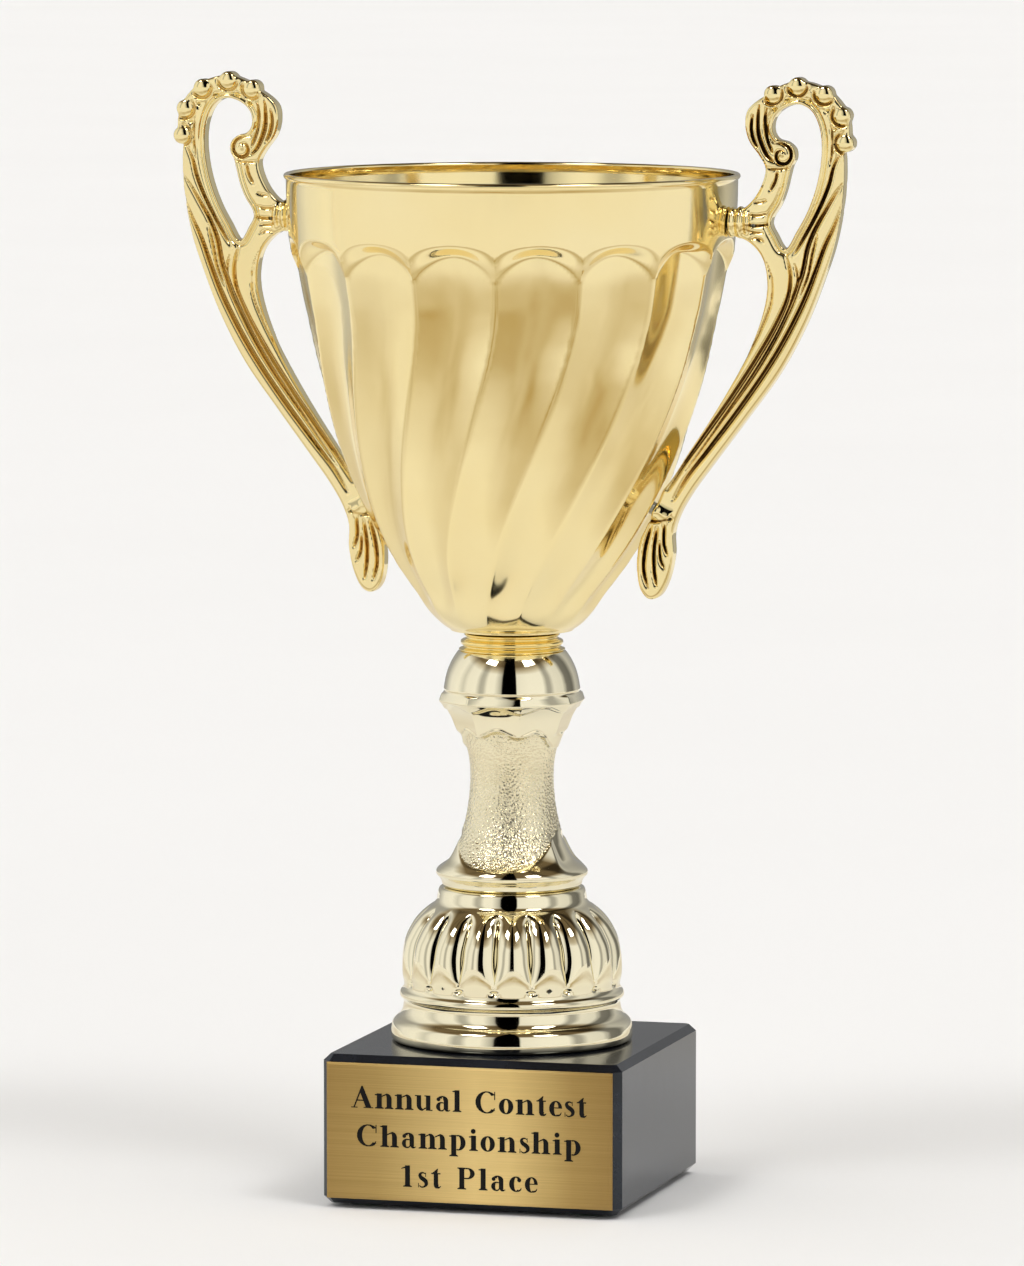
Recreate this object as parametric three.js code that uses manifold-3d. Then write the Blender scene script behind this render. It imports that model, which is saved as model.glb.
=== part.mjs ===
// A two-handled presentation cup on a square stone block, as it comes apart on a bench:
// a chamfered block with its plate and felt pads, a gadrooned dome riser, a waisted stem
// riser, a collar, a fluted sheet-metal cup, two cast scroll handles with their screws,
// and the threaded rod that pulls the whole stack together.
// Millimetres, +Z up, the plate faces -Y, the handles point along +X and -X.
// The origin is the centre of the underside of the felt pads.

import * as THREE from "three";
import { mergeVertices } from "three/addons/utils/BufferGeometryUtils.js";
import Module from "manifold-3d";

const wasm = await Module();
wasm.setup();

// ---------------------------------------------------------------- driving dimensions

const PAD = { radius: 7, thick: 1, offset: 30 };
const BLOCK = { side: 82, height: 40, chamfer: 1.8, edgeCut: 1.1 };
const TAPE = { width: 74, height: 32, thick: 0.5 };
const PLATE = { width: 78.4, height: 36.4, thick: 1, bevel: 0.7 };
const ROD = { radius: 2.9, bottom: 12, top: 160, lead: 0.8 };
const CLEARANCE = 0.3;                       // between a fastener and its hole
const HOLE = ROD.radius + CLEARANCE;         // the rod's hole in every piece of the stack
const COUNTERBORE = { radius: 14, depth: 22 };
const NUT = { acrossFlats: 10, height: 5 };
const WASHER = { radius: 12, thick: 1.5 };
const CUP_WASHER = { radius: 11, thick: 1.5 };
const LOCK_WASHER = { radius: 5.4, thick: 1.5 };

const BLOCK_BOTTOM = PAD.thick;
const BLOCK_TOP = BLOCK_BOTTOM + BLOCK.height;          // 41
const DOME_TOP = 82.25;
const STEM_TOP = 145.75;
const COLLAR_TOP = 150.5;
const CUP_SEAT = COLLAR_TOP + 0.1;           // underside of the cup
const RIM_TOP = 273.25;

const RISER_WALL = 2.2;                      // moulded risers
const CUP_WALL = 0.8;                        // drawn sheet of the cup
const FACETS = 8;                            // flats round the stem
const LOBES = 18;                            // gadroons round the dome
const FLUTES = 16;                           // flutes round the cup
const FRONT = -Math.PI / 2;                  // angle that faces -Y

const HANDLE = { thick: 5, bevel: 0.8, beadRadius: 2.1 };
// Where a handle meets the cup: tilt turns the screw nose down, reach is how far it goes in.
const UPPER_SEAT = { x: 59.9, z: 261, tilt: 0, reach: 6.6 };
const LOWER_SEAT = { x: 39.6, z: 184.4, tilt: 0.44, reach: 4.8 };
const SCREW = { radius: 1.8, tip: 0.8, headRadius: 3.4, headHeight: 2.2, headEdge: 1 };
const SCREW_WASHER = { radius: 4.4, thick: 0.8 };
const PILOT_SPARE = 0.4;                     // screw hole past the screw's nose
const SEAT_LUG = { radius: 3.2, height: 5 }; // boss behind the drop leaf
const SEAT_ROOT = -3;                        // where a boss starts, before the cup is cut away

// Flat sides of the round pieces.
const SIDES = { bore: 24, pad: 18, washer: 20, rod: 16, screw: 14, collar: 32, pilot: 12 };

// ---------------------------------------------------------------- materials

const finish = (color, roughness, metalness) => ({ color, roughness, metalness });
const GOLD = finish(0xe8cf86, 0.12, 1);
const PALE_GOLD = finish(0xe2d5ae, 0.14, 1);
const STONE = finish(0x0a0b0d, 0.08, 0);
const BRASS = finish(0xd2ad62, 0.35, 1);
const STEEL = finish(0xb9bcc0, 0.3, 1);
const FELT = finish(0x20301f, 0.95, 0);
const FOAM = finish(0xe9e7e0, 0.8, 0);

const trophy = new THREE.Group();

function add(name, geometry, look) {
  const mesh = new THREE.Mesh(geometry, new THREE.MeshStandardMaterial(look));
  mesh.name = name;
  trophy.add(mesh);
  return mesh;
}

// ---------------------------------------------------------------- geometry helpers

function signedVolume(geometry) {
  const p = geometry.attributes.position.array;
  const index = geometry.index.array;
  const corner = i => new THREE.Vector3(p[3 * i], p[3 * i + 1], p[3 * i + 2]);
  let sum = 0;
  for (let i = 0; i < index.length; i += 3) {
    sum += corner(index[i]).dot(corner(index[i + 1]).cross(corner(index[i + 2])));
  }
  return sum / 6;
}

// Merges shared corners, drops empty triangles and turns the faces outward.
function closed(geometry) {
  for (const name of ["normal", "uv"]) {
    geometry.deleteAttribute(name);
  }
  const merged = mergeVertices(geometry, 1e-4);
  const kept = [];
  const index = merged.index.array;
  for (let i = 0; i < index.length; i += 3) {
    const [a, b, c] = [index[i], index[i + 1], index[i + 2]];
    if (a !== b && b !== c && c !== a) {
      kept.push(a, b, c);
    }
  }
  merged.setIndex(kept);
  if (signedVolume(merged) < 0) {
    merged.setIndex(kept.reverse());
  }
  return merged;
}

function toSolid(geometry) {
  const g = closed(geometry);
  const mesh = new wasm.Mesh({
    numProp: 3,
    vertProperties: new Float32Array(g.attributes.position.array),
    triVerts: new Uint32Array(g.index.array),
  });
  return new wasm.Manifold(mesh);
}

function toGeometry(solid) {
  const mesh = solid.getMesh();
  const geometry = new THREE.BufferGeometry();
  geometry.setAttribute("position", new THREE.BufferAttribute(mesh.vertProperties, 3));
  geometry.setIndex(new THREE.BufferAttribute(mesh.triVerts, 1));
  geometry.computeVertexNormals();
  return geometry;
}

// A profile of [radius, height] turned about Z. It closes on itself, or starts and ends
// on the axis. reshape(angle, radius, height) may return another radius for a point.
function turned(profile, segments, reshape = null) {
  const points = profile.map(([r, z]) => new THREE.Vector2(r, z));
  if (profile[0][0] > 0) {
    points.push(points[0].clone());
  }
  const lathe = new THREE.LatheGeometry(points, segments);
  lathe.rotateX(Math.PI / 2);
  const geometry = closed(lathe);
  const p = geometry.attributes.position;
  for (let i = 0; reshape && i < p.count; i += 1) {
    const radius = Math.hypot(p.getX(i), p.getY(i));
    const angle = Math.atan2(p.getY(i), p.getX(i));
    const scale = radius > 1e-6 ? reshape(angle, radius, p.getZ(i)) / radius : 1;
    p.setX(i, p.getX(i) * scale);
    p.setY(i, p.getY(i) * scale);
  }
  geometry.computeVertexNormals();
  return geometry;
}

const tube = (outer, inner, bottom, top) =>
  [[inner, bottom], [outer, bottom], [outer, top], [inner, top]];
const disc = (radius, bottom, top) => [[0, bottom], [radius, bottom], [radius, top], [0, top]];

function smoothstep(from, to, value) {
  const t = Math.min(1, Math.max(0, (value - from) / (to - from)));
  return t * t * (3 - 2 * t);
}

// Radius at a height on a profile curve of [radius, height] points, rising in height.
function radiusAt(curve, height) {
  let i = 1;
  while (i < curve.length - 1 && curve[i][1] < height) {
    i += 1;
  }
  const [r0, z0] = curve[i - 1];
  const [r1, z1] = curve[i];
  return r0 + (r1 - r0) * (height - z0) / (z1 - z0);
}

// ---------------------------------------------------------------- stone block, plate, pads

function blockSolid() {
  const { side, height, chamfer, edgeCut } = BLOCK;
  const half = side / 2 - chamfer;
  const inner = half - edgeCut;
  const shape = new THREE.Shape();
  const corners = [
    [inner, -half], [half, -inner], [half, inner], [inner, half],
    [-inner, half], [-half, inner], [-half, -inner], [-inner, -half],
  ];
  shape.setFromPoints(corners.map(([x, y]) => new THREE.Vector2(x, y)));
  const body = new THREE.ExtrudeGeometry(shape, {
    depth: height - 2 * chamfer, bevelEnabled: true, bevelSegments: 1,
    bevelSize: chamfer, bevelThickness: chamfer,
  });
  body.translate(0, 0, BLOCK_BOTTOM + chamfer);
  const ceiling = BLOCK_BOTTOM + COUNTERBORE.depth;
  const drill = turned([
    [0, BLOCK_BOTTOM - 1], [COUNTERBORE.radius, BLOCK_BOTTOM - 1],
    [COUNTERBORE.radius, ceiling], [HOLE, ceiling], [HOLE, BLOCK_TOP + 1], [0, BLOCK_TOP + 1],
  ], SIDES.bore);
  return toSolid(body).subtract(toSolid(drill));
}

add("stone_base", toGeometry(blockSolid()), STONE);

for (const [name, sx, sy] of [
  ["foot_pad_front_left", -1, -1], ["foot_pad_front_right", 1, -1],
  ["foot_pad_rear_left", -1, 1], ["foot_pad_rear_right", 1, 1],
]) {
  const pad = add(name, turned(disc(PAD.radius, 0, PAD.thick), SIDES.pad), FELT);
  pad.position.set(sx * PAD.offset, sy * PAD.offset, 0);
}

const FRONT_FACE = -BLOCK.side / 2;
const PLATE_Z = BLOCK_BOTTOM + BLOCK.height / 2;

const tape = new THREE.BoxGeometry(TAPE.width, TAPE.thick, TAPE.height);
add("plate_tape", tape, FOAM).position.set(0, FRONT_FACE - TAPE.thick / 2, PLATE_Z);

function plateGeometry() {
  const { width, height, thick, bevel } = PLATE;
  const [w, h] = [width / 2 - bevel, height / 2 - bevel];
  const shape = new THREE.Shape();
  shape.setFromPoints([[-w, -h], [w, -h], [w, h], [-w, h]].map(([x, y]) => new THREE.Vector2(x, y)));
  const sheet = new THREE.ExtrudeGeometry(shape, {
    depth: thick - bevel, bevelEnabled: true, bevelSegments: 1,
    bevelSize: bevel, bevelThickness: bevel / 2,
  });
  sheet.translate(0, 0, bevel / 2);
  sheet.rotateX(Math.PI / 2);
  return closed(sheet);
}

add("name_plate", plateGeometry(), BRASS).position.set(0, FRONT_FACE - TAPE.thick, PLATE_Z);

// ---------------------------------------------------------------- rod, nuts and washers

function nutGeometry(bottom) {
  const shape = new THREE.Shape();
  const corner = NUT.acrossFlats / 2 / Math.cos(Math.PI / 6);
  const points = [];
  for (let i = 0; i < 6; i += 1) {
    const angle = i * Math.PI / 3;
    points.push(new THREE.Vector2(corner * Math.cos(angle), corner * Math.sin(angle)));
  }
  shape.setFromPoints(points);
  const hole = new THREE.Path();
  hole.absarc(0, 0, HOLE, 0, 2 * Math.PI, true);
  shape.holes.push(hole);
  const body = new THREE.ExtrudeGeometry(shape, {
    depth: NUT.height, bevelEnabled: false, curveSegments: 12,
  });
  body.translate(0, 0, bottom);
  return closed(body);
}

function rodProfile() {
  const { radius, bottom, top, lead } = ROD;
  return [
    [0, bottom], [radius - lead, bottom], [radius, bottom + lead],
    [radius, top - lead], [radius - lead, top], [0, top],
  ];
}

const BASE_WASHER_TOP = BLOCK_BOTTOM + COUNTERBORE.depth;
const LOCK_TOP = BASE_WASHER_TOP - WASHER.thick;
const BASE_NUT_TOP = LOCK_TOP - LOCK_WASHER.thick;
const CUP_FLOOR = CUP_SEAT + CUP_WALL;
const CUP_NUT_BOTTOM = CUP_FLOOR + CUP_WASHER.thick;

function washer(name, radius, bottom, top) {
  add(name, turned(tube(radius, HOLE, bottom, top), SIDES.washer), STEEL);
}

add("tie_rod", turned(rodProfile(), SIDES.rod), STEEL);
washer("base_washer", WASHER.radius, LOCK_TOP, BASE_WASHER_TOP);
washer("base_lock_washer", LOCK_WASHER.radius, BASE_NUT_TOP, LOCK_TOP);
add("base_nut", nutGeometry(BASE_NUT_TOP - NUT.height), STEEL);
washer("cup_washer", CUP_WASHER.radius, CUP_FLOOR, CUP_NUT_BOTTOM);
add("cup_nut", nutGeometry(CUP_NUT_BOTTOM), STEEL);

// ---------------------------------------------------------------- dome riser

// Outer profile from the foot up: foot flange, cove, ring bead, dome, collar.
const DOME_OUTER = [
  [32.2, 41], [32.3, 44.5], [31.7, 46.6], [29.7, 48], [29.0, 51.2], [29.8, 53.4], [28.9, 55.8],
  [29.5, 59], [29.3, 65], [27.9, 69.6], [25.1, 74.6], [21.0, 77.8], [19.7, 80], [19.5, DOME_TOP],
];
const LOBE_DEPTH = 1.5;

// Gadroons: convex ribs between narrow grooves, deepest half way up the dome.
function lobed(angle, radius, height) {
  const zone = smoothstep(56.5, 60, height) * (1 - smoothstep(73.5, 77.6, height));
  const outer = radius > radiusAt(DOME_OUTER, height) - RISER_WALL / 2;
  const wave = Math.abs(Math.sin((angle - FRONT) * LOBES / 2));
  return outer ? radius - LOBE_DEPTH * zone * (1 - wave) : radius;
}

const DOME_INNER = [
  [HOLE, DOME_TOP], [HOLE, DOME_TOP - 4], [16.5, DOME_TOP - 4.5], [23, 71], [26.1, 62],
  [26.2, 50], [28.5, 41],
];
add("dome_riser", turned([...DOME_OUTER, ...DOME_INNER], LOBES * 3, lobed), PALE_GOLD);

// ---------------------------------------------------------------- stem riser

// Outer profile: rim, concave flare, waist, neck, banded ball.
const STEM_OUTER = [
  [18.4, DOME_TOP], [19.9, 85.2], [20.1, 86.7], [19.2, 88.2], [16.6, 91.2], [14.2, 95.8],
  [12.4, 102], [11.6, 108], [11.5, 114], [12.7, 120.5], [14.5, 125.1], [17.6, 130.2],
  [18.9, 132], [18.9, 133.2], [18.3, 135], [17.8, 138.3], [16.7, 141.6], [14.6, STEM_TOP],
];
const STEM_INNER = [
  [HOLE, STEM_TOP], [HOLE, STEM_TOP - 2.5], [12.5, STEM_TOP - 3], [15.4, 136], [11.6, 124],
  [9.2, 115], [9.1, 106], [11.4, 98], [16, 89.5], [16.2, DOME_TOP],
];

// Eight flats round the neck and the flare, with one flat square to the front.
function faceted(angle, radius, height) {
  const zone = smoothstep(87, 91, height) * (1 - smoothstep(127.5, 131, height));
  const outer = radius > radiusAt(STEM_OUTER, height) - RISER_WALL / 2;
  const pitch = 2 * Math.PI / FACETS;
  const turn = angle - FRONT;
  const offFlat = turn - pitch * Math.round(turn / pitch);
  const flat = Math.cos(pitch / 2) / Math.cos(offFlat) * 1.035;
  return outer ? radius * (1 + zone * (flat - 1)) : radius;
}

add("stem_riser", turned([...STEM_OUTER, ...STEM_INNER], FACETS * 4, faceted), PALE_GOLD);

// ---------------------------------------------------------------- cup collar

const COLLAR = [
  [HOLE, STEM_TOP], [14.3, STEM_TOP], [14.4, 146.6], [13.5, 147.2], [13.3, 148.4],
  [12.6, 149.0], [12.3, COLLAR_TOP], [HOLE, COLLAR_TOP],
];
add("cup_collar", turned(COLLAR, SIDES.collar), GOLD);

// ---------------------------------------------------------------- fluted cup

// Outer profile of the fluted body, then the plain band under the rolled rim.
const CUP_BODY = [
  [HOLE, CUP_SEAT], [12.5, CUP_SEAT], [16.2, 151.4], [19.4, 153.6],
  [26.2, 162.5], [33.0, 172.2], [39.5, 184.4], [44.9, 197.2], [49.3, 210.5], [53.0, 226],
  [55.8, 240], [57.1, 247.5],
];
const CUP_BAND = [[58.4, 251.5], [59.4, 256], [60.1, 268]];
const CUP_RIM = [[60.5, 272.2], [60.2, RIM_TOP], [59.4, RIM_TOP]];
const CUP_OUTER = [...CUP_BODY, ...CUP_BAND, ...CUP_RIM];
const FLUTE = { depth: 2.0, archTop: 256.6, cusp: 251.6, foot: 152.7, twist: -0.66 };

// The flutes run straight down from the arches, then sweep round towards the foot.
function fluteTurn(height) {
  const fall = Math.min(1, Math.max(0, (240 - height) / (240 - FLUTE.foot)));
  return FLUTE.twist * fall ** 1.5;
}

function fluteDrop(angle, height) {
  const wave = Math.abs(Math.sin((angle - FRONT - fluteTurn(height)) * FLUTES / 2));
  const edge = FLUTE.cusp + (FLUTE.archTop - FLUTE.cusp) * (1 - wave ** 2);
  const top = 1 - smoothstep(edge - 5, edge, height);
  const foot = smoothstep(FLUTE.foot, FLUTE.foot + 24, height);
  return FLUTE.depth * top * foot * (1 - wave ** 1.4);
}

const fluted = (angle, radius, height) => radius - fluteDrop(angle, height);

function insideOf(outer, wall) {
  const inner = [];
  for (let i = outer.length - 2; i > 0; i -= 1) {
    const [rBelow, zBelow] = outer[i - 1];
    const [rAbove, zAbove] = outer[i + 1];
    const [dr, dz] = [rAbove - rBelow, zAbove - zBelow];
    const length = Math.hypot(dr, dz);
    inner.push([outer[i][0] - wall * dz / length, outer[i][1] + wall * dr / length]);
  }
  return inner;
}

const CUP_INNER = insideOf([...CUP_BODY, ...CUP_BAND], CUP_WALL);
const cupProfile = [...CUP_OUTER, ...CUP_INNER, [HOLE, CUP_FLOOR]];
const cupWithoutHoles = toSolid(turned(cupProfile, FLUTES * 4, fluted));

// ---------------------------------------------------------------- handles

// Outline of the right handle in X and Z. It starts inside the upper seat on the cup,
// runs up the hooked limb, over the crown, down the outer limb, round the drop leaf
// and the lower seat, and back up the inner edge.
const OUTLINE = [
  [58, 264.6], [63.4, 264.6], [66.3, 266.9], [68.7, 270.8], [69.6, 275.6], [68.2, 278.6],
  [65.2, 282.4], [64.0, 286.4], [64.5, 290.4], [67.6, 293.4], [71.5, 295.6], [78.3, 296.9],
  [84.8, 295.0], [88.8, 290.4], [90.6, 284.0], [91.0, 274.0], [90.2, 264.6], [88.4, 255.2],
  [85.6, 246.6], [80.8, 234.6], [73.8, 221.6], [64.5, 208.8], [55.0, 196.2], [50.0, 189.4],
  [46.6, 183.6], [44.9, 178.6], [44.7, 172.4], [43.2, 165.2], [40.6, 161.2], [38.2, 160.4],
  [36.2, 162.6], [35.1, 167.0], [35.2, 173.4], [36.8, 180.0], [36.6, 184.6], [39.0, 187.8],
  [42.5, 190.2], [48.8, 199.4], [57.0, 211.8], [64.3, 224.6], [69.0, 236.2], [70.4, 244.6],
  [69.0, 251.8], [65.2, 256.0], [61.5, 257.3], [58, 257.4],
];
// Edge of the opening inside the scroll, with the curled tip on its inner side.
const OPENING = [
  [79.0, 292.3], [75.2, 291.4], [72.4, 289.0], [71.7, 285.6], [73.6, 283.5], [76.2, 282.6],
  [77.7, 279.8], [76.7, 275.8], [75.4, 272.0], [73.4, 266.8], [71.4, 262.8], [71.6, 259.8],
  [75.2, 254.4], [78.4, 259.0], [81.4, 264.6], [83.8, 271.6], [85.0, 279.6], [84.4, 286.2],
  [82.2, 290.6],
];
const BEADS = [[71.3, 295.4], [78.3, 297.5], [85.5, 295.4], [90.2, 289.6], [91.0, 282.4]];
// Ringed boss at the upper seat: radius and distance outward from the cup's wall.
const KNOT = [
  [0, SEAT_ROOT], [4.2, SEAT_ROOT], [4.2, 1.2], [3.8, 1.8], [4.5, 2.6], [4.2, 3.6], [3.6, 4.2],
  [4.0, 5.0], [3.4, 6.2], [0, 6.2],
];

function curveThrough(points, divisions) {
  const knots = points.map(([x, z]) => new THREE.Vector3(x, z, 0));
  const curve = new THREE.CatmullRomCurve3(knots, true, "centripetal");
  return curve.getPoints(divisions).slice(0, -1).map(p => new THREE.Vector2(p.x, p.y));
}

function handleBody() {
  const shape = new THREE.Shape(curveThrough(OUTLINE, 88));
  shape.holes.push(new THREE.Path(curveThrough(OPENING, 38)));
  const body = new THREE.ExtrudeGeometry(shape, {
    depth: HANDLE.thick - 2 * HANDLE.bevel, bevelEnabled: true, bevelSegments: 1,
    bevelSize: HANDLE.bevel, bevelThickness: HANDLE.bevel, bevelOffset: -HANDLE.bevel,
  });
  body.translate(0, 0, HANDLE.bevel - HANDLE.thick / 2);
  body.rotateX(Math.PI / 2);
  return toSolid(body);
}

// Turns a piece made along +Z so that it points outward at a seat, nose down by the tilt.
function atSeat(geometry, seat, outward = 0) {
  geometry.rotateY(Math.PI / 2 + seat.tilt);
  geometry.translate(
    seat.x + outward * Math.cos(seat.tilt), 0, seat.z - outward * Math.sin(seat.tilt));
  return geometry;
}

function rightHandle() {
  let solid = handleBody();
  for (const [x, z] of BEADS) {
    const bead = new THREE.SphereGeometry(HANDLE.beadRadius, 10, 7);
    solid = solid.add(toSolid(bead.translate(x, 0, z)));
  }
  const lug = disc(SEAT_LUG.radius, SEAT_ROOT, SEAT_LUG.height);
  solid = solid.add(toSolid(atSeat(turned(KNOT, SIDES.screw), UPPER_SEAT)));
  solid = solid.add(toSolid(atSeat(turned(lug, SIDES.screw), LOWER_SEAT)));
  const room = CUP_OUTER.slice(2, -1).map(([r, z]) => [r + CLEARANCE, z]);
  const cupRoom = [[0, room[0][1]], ...room, [0, RIM_TOP]];
  solid = solid.subtract(toSolid(turned(cupRoom, FLUTES * 4)));
  for (const seat of [UPPER_SEAT, LOWER_SEAT]) {
    const pilot = disc(SCREW.radius + CLEARANCE, SEAT_ROOT - 1, seat.reach + PILOT_SPARE);
    solid = solid.subtract(toSolid(atSeat(turned(pilot, SIDES.pilot), seat)));
  }
  return solid;
}

const handleRight = rightHandle();
const handleLeft = handleRight.rotate([0, 0, 180]);
add("handle_right", toGeometry(handleRight), GOLD);
add("handle_left", toGeometry(handleLeft), GOLD);

// Screws and washers inside the cup, and the holes they pass through.
// A setback is the distance in from the seat to the washer: the lower one clears a flute.
const UPPER_SETBACK = CUP_WALL + 3 * CLEARANCE;
const LOWER_SETBACK = CUP_WALL + FLUTE.depth + CLEARANCE;
const DRILL_REACH = 8;
let cup = cupWithoutHoles;
for (const [level, seat, setback] of [
  ["upper", UPPER_SEAT, UPPER_SETBACK], ["lower", LOWER_SEAT, LOWER_SETBACK],
]) {
  const washerInner = -setback - SCREW_WASHER.thick;
  const headInner = washerInner - SCREW.headHeight;
  const screw = [
    [0, headInner], [SCREW.headRadius - SCREW.headEdge, headInner],
    [SCREW.headRadius, headInner + SCREW.headEdge],
    [SCREW.headRadius, washerInner], [SCREW.radius, washerInner],
    [SCREW.radius, seat.reach - SCREW.tip], [0, seat.reach],
  ];
  const ring = tube(SCREW_WASHER.radius, SCREW.radius + CLEARANCE, washerInner, -setback);
  const drill = disc(SCREW.radius + CLEARANCE, -DRILL_REACH, DRILL_REACH);
  for (const [side, turn] of [["right", 0], ["left", Math.PI]]) {
    const place = profile => closed(atSeat(turned(profile, SIDES.screw), seat).rotateZ(turn));
    add(`${level}_screw_${side}`, place(screw), STEEL);
    add(`${level}_screw_washer_${side}`, place(ring), STEEL);
    cup = cup.subtract(toSolid(place(drill)));
  }
}
add("cup_bowl", toGeometry(cup), GOLD);

export default trophy;
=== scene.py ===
"""A two-handled cup trophy: the visible surfaces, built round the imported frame.

Sizes are in millimetres where a name or a table says so and are turned into metres by MM.
Heights are above the surface that the trophy stands on, the plate faces -Y, and the
handles point along +X and -X.
"""
import math

import bpy
import numpy as np
from mathutils import Matrix, Vector, geometry, noise


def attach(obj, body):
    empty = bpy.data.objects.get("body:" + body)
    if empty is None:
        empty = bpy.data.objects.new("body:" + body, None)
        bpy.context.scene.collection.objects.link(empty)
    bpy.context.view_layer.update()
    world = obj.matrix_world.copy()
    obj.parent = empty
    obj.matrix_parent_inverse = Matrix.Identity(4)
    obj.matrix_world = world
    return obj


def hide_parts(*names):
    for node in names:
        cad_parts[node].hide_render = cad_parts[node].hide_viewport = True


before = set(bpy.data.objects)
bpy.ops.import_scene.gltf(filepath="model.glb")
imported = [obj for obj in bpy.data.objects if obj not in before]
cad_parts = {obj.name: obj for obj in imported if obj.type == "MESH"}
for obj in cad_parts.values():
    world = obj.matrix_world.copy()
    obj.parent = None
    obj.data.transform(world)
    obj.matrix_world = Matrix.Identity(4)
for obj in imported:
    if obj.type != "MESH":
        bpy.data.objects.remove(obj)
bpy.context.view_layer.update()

MM = 0.001
FRONT = -math.pi / 2          # the angle, round the cup's axis, that faces the plate's side
ROD_HOLE = 3.2                # radius of the hole for the rod through the stack


# ---------------------------------------------------------------- numbers and curves


def smoothstep(low, high, value):
    t = np.clip((np.asarray(value, float) - low) / (high - low), 0.0, 1.0)
    return t * t * (3.0 - 2.0 * t)


def between(value, rise, fall):
    """0, then 1 past the pair of values `rise`, and 0 again past the pair `fall`."""
    return smoothstep(*rise, value) * (1 - smoothstep(*fall, value))


def ripple(offset, width):
    """A soft bump, 1 where the offset is 0."""
    return np.exp(-(offset / width) ** 2)


def spline(points, count, place=2):
    """Centripetal Catmull-Rom samples; the first `place` columns set the spacing."""
    p = np.array(points, float)
    p = np.vstack([2 * p[0] - p[1], p, 2 * p[-1] - p[-2]])
    gaps = np.linalg.norm(np.diff(p[:, :place], axis=0), axis=1) ** 0.5
    knots = np.concatenate([[0.0], np.cumsum(np.maximum(gaps, 1e-6))])
    t = np.linspace(knots[1], knots[-2], count)
    i = np.clip(np.searchsorted(knots, t, side="right") - 1, 1, len(p) - 3)

    def blend(a, b, ta, tb):
        w = ((t - ta) / (tb - ta))[:, None]
        return a * (1 - w) + b * w

    k = [knots[i + n] for n in (-1, 0, 1, 2)]
    a1 = blend(p[i - 1], p[i], k[0], k[1])
    a2 = blend(p[i], p[i + 1], k[1], k[2])
    a3 = blend(p[i + 1], p[i + 2], k[2], k[3])
    b1 = blend(a1, a2, k[0], k[2])
    b2 = blend(a2, a3, k[1], k[3])
    return blend(b1, b2, k[1], k[2])


def even(points, step, place=2):
    """Points of a smooth curve about `step` apart."""
    dense = spline(points, 40 * len(points), place)
    run = np.linalg.norm(np.diff(dense[:, :place], axis=0), axis=1)
    length = np.concatenate([[0.0], np.cumsum(run)])
    count = max(2, int(math.ceil(length[-1] / step)) + 1)
    at = np.linspace(0.0, length[-1], count)
    return np.stack([np.interp(at, length, column) for column in dense.T], 1)


# ---------------------------------------------------------------- mesh helpers


def make_object(name, verts, faces, materials, sharp_degrees=None, indices=None):
    """A smooth-shaded mesh object from points in millimetres."""
    mesh = bpy.data.meshes.new(name)
    mesh.from_pydata((np.asarray(verts, float) * MM).tolist(), [], faces)
    mesh.validate()
    mesh.shade_smooth()
    if sharp_degrees:
        mesh.set_sharp_from_angle(angle=math.radians(sharp_degrees))
    obj = bpy.data.objects.new(name, mesh)
    bpy.context.collection.objects.link(obj)
    for material in materials:
        mesh.materials.append(material)
    if indices is not None:
        mesh.polygons.foreach_set("material_index", indices)
    return obj


def wrapped_faces(rows, cols):
    """Quads of a grid whose rows and columns both close on themselves."""
    rr, cc = np.meshgrid(np.arange(rows), np.arange(cols), indexing="ij")
    r2, c2 = (rr + 1) % rows, (cc + 1) % cols
    quads = np.stack([rr * cols + cc, rr * cols + c2, r2 * cols + c2, r2 * cols + cc], -1)
    return quads.reshape(-1, 4).tolist()


def round_axis(cols):
    """Angles of the columns of a grid that goes once round the axis, as one row."""
    return np.linspace(0, 2 * math.pi, cols, endpoint=False)[None, :]


def spread(profile, cols):
    """Angle, radius and height arrays of a profile's rows repeated round the axis."""
    p = np.array(profile, float)
    return round_axis(cols), np.repeat(p[:, :1], cols, 1), np.repeat(p[:, 1:2], cols, 1)


def ring_mesh(name, angle, radius, height, *looks):
    """A closed mesh round the axis from (rows, cols) arrays in millimetres."""
    verts = np.stack([radius * np.cos(angle), radius * np.sin(angle), height], -1).reshape(-1, 3)
    return make_object(name, verts, wrapped_faces(*radius.shape), *looks)


def lathe(name, profile, cols, materials, sharp_degrees=None, reshape=None):
    """A closed profile of (radius, height) rows turned about the axis."""
    angle, radius, height = spread(profile, cols)
    if reshape is not None:
        radius = reshape(angle, radius, height)
    return ring_mesh(name, angle, radius, height, materials, sharp_degrees)


def stands_for(obj, node):
    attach(obj, "root")
    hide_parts(node)
    return obj


# ---------------------------------------------------------------- materials


def new_material(name, constants=None):
    """A material, its node tree and its shader, whose sockets take the constants."""
    material = bpy.data.materials.new(name)
    material.use_nodes = True
    shader = material.node_tree.nodes["Principled BSDF"]
    for socket, value in (constants or {}).items():
        shader.inputs[socket].default_value = value
    return material, material.node_tree, shader


def add_node(tree, kind, **values):
    node = tree.nodes.new(kind)
    for key, value in values.items():
        if key in node.inputs:
            node.inputs[key].default_value = value
        else:
            setattr(node, key.lower(), value)
    return node


def object_coordinates(tree, scale=(1.0, 1.0, 1.0)):
    source = tree.nodes.new("ShaderNodeTexCoord")
    mapping = tree.nodes.new("ShaderNodeMapping")
    mapping.inputs["Scale"].default_value = scale
    tree.links.new(source.outputs["Object"], mapping.inputs["Vector"])
    return mapping.outputs["Vector"]


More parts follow.
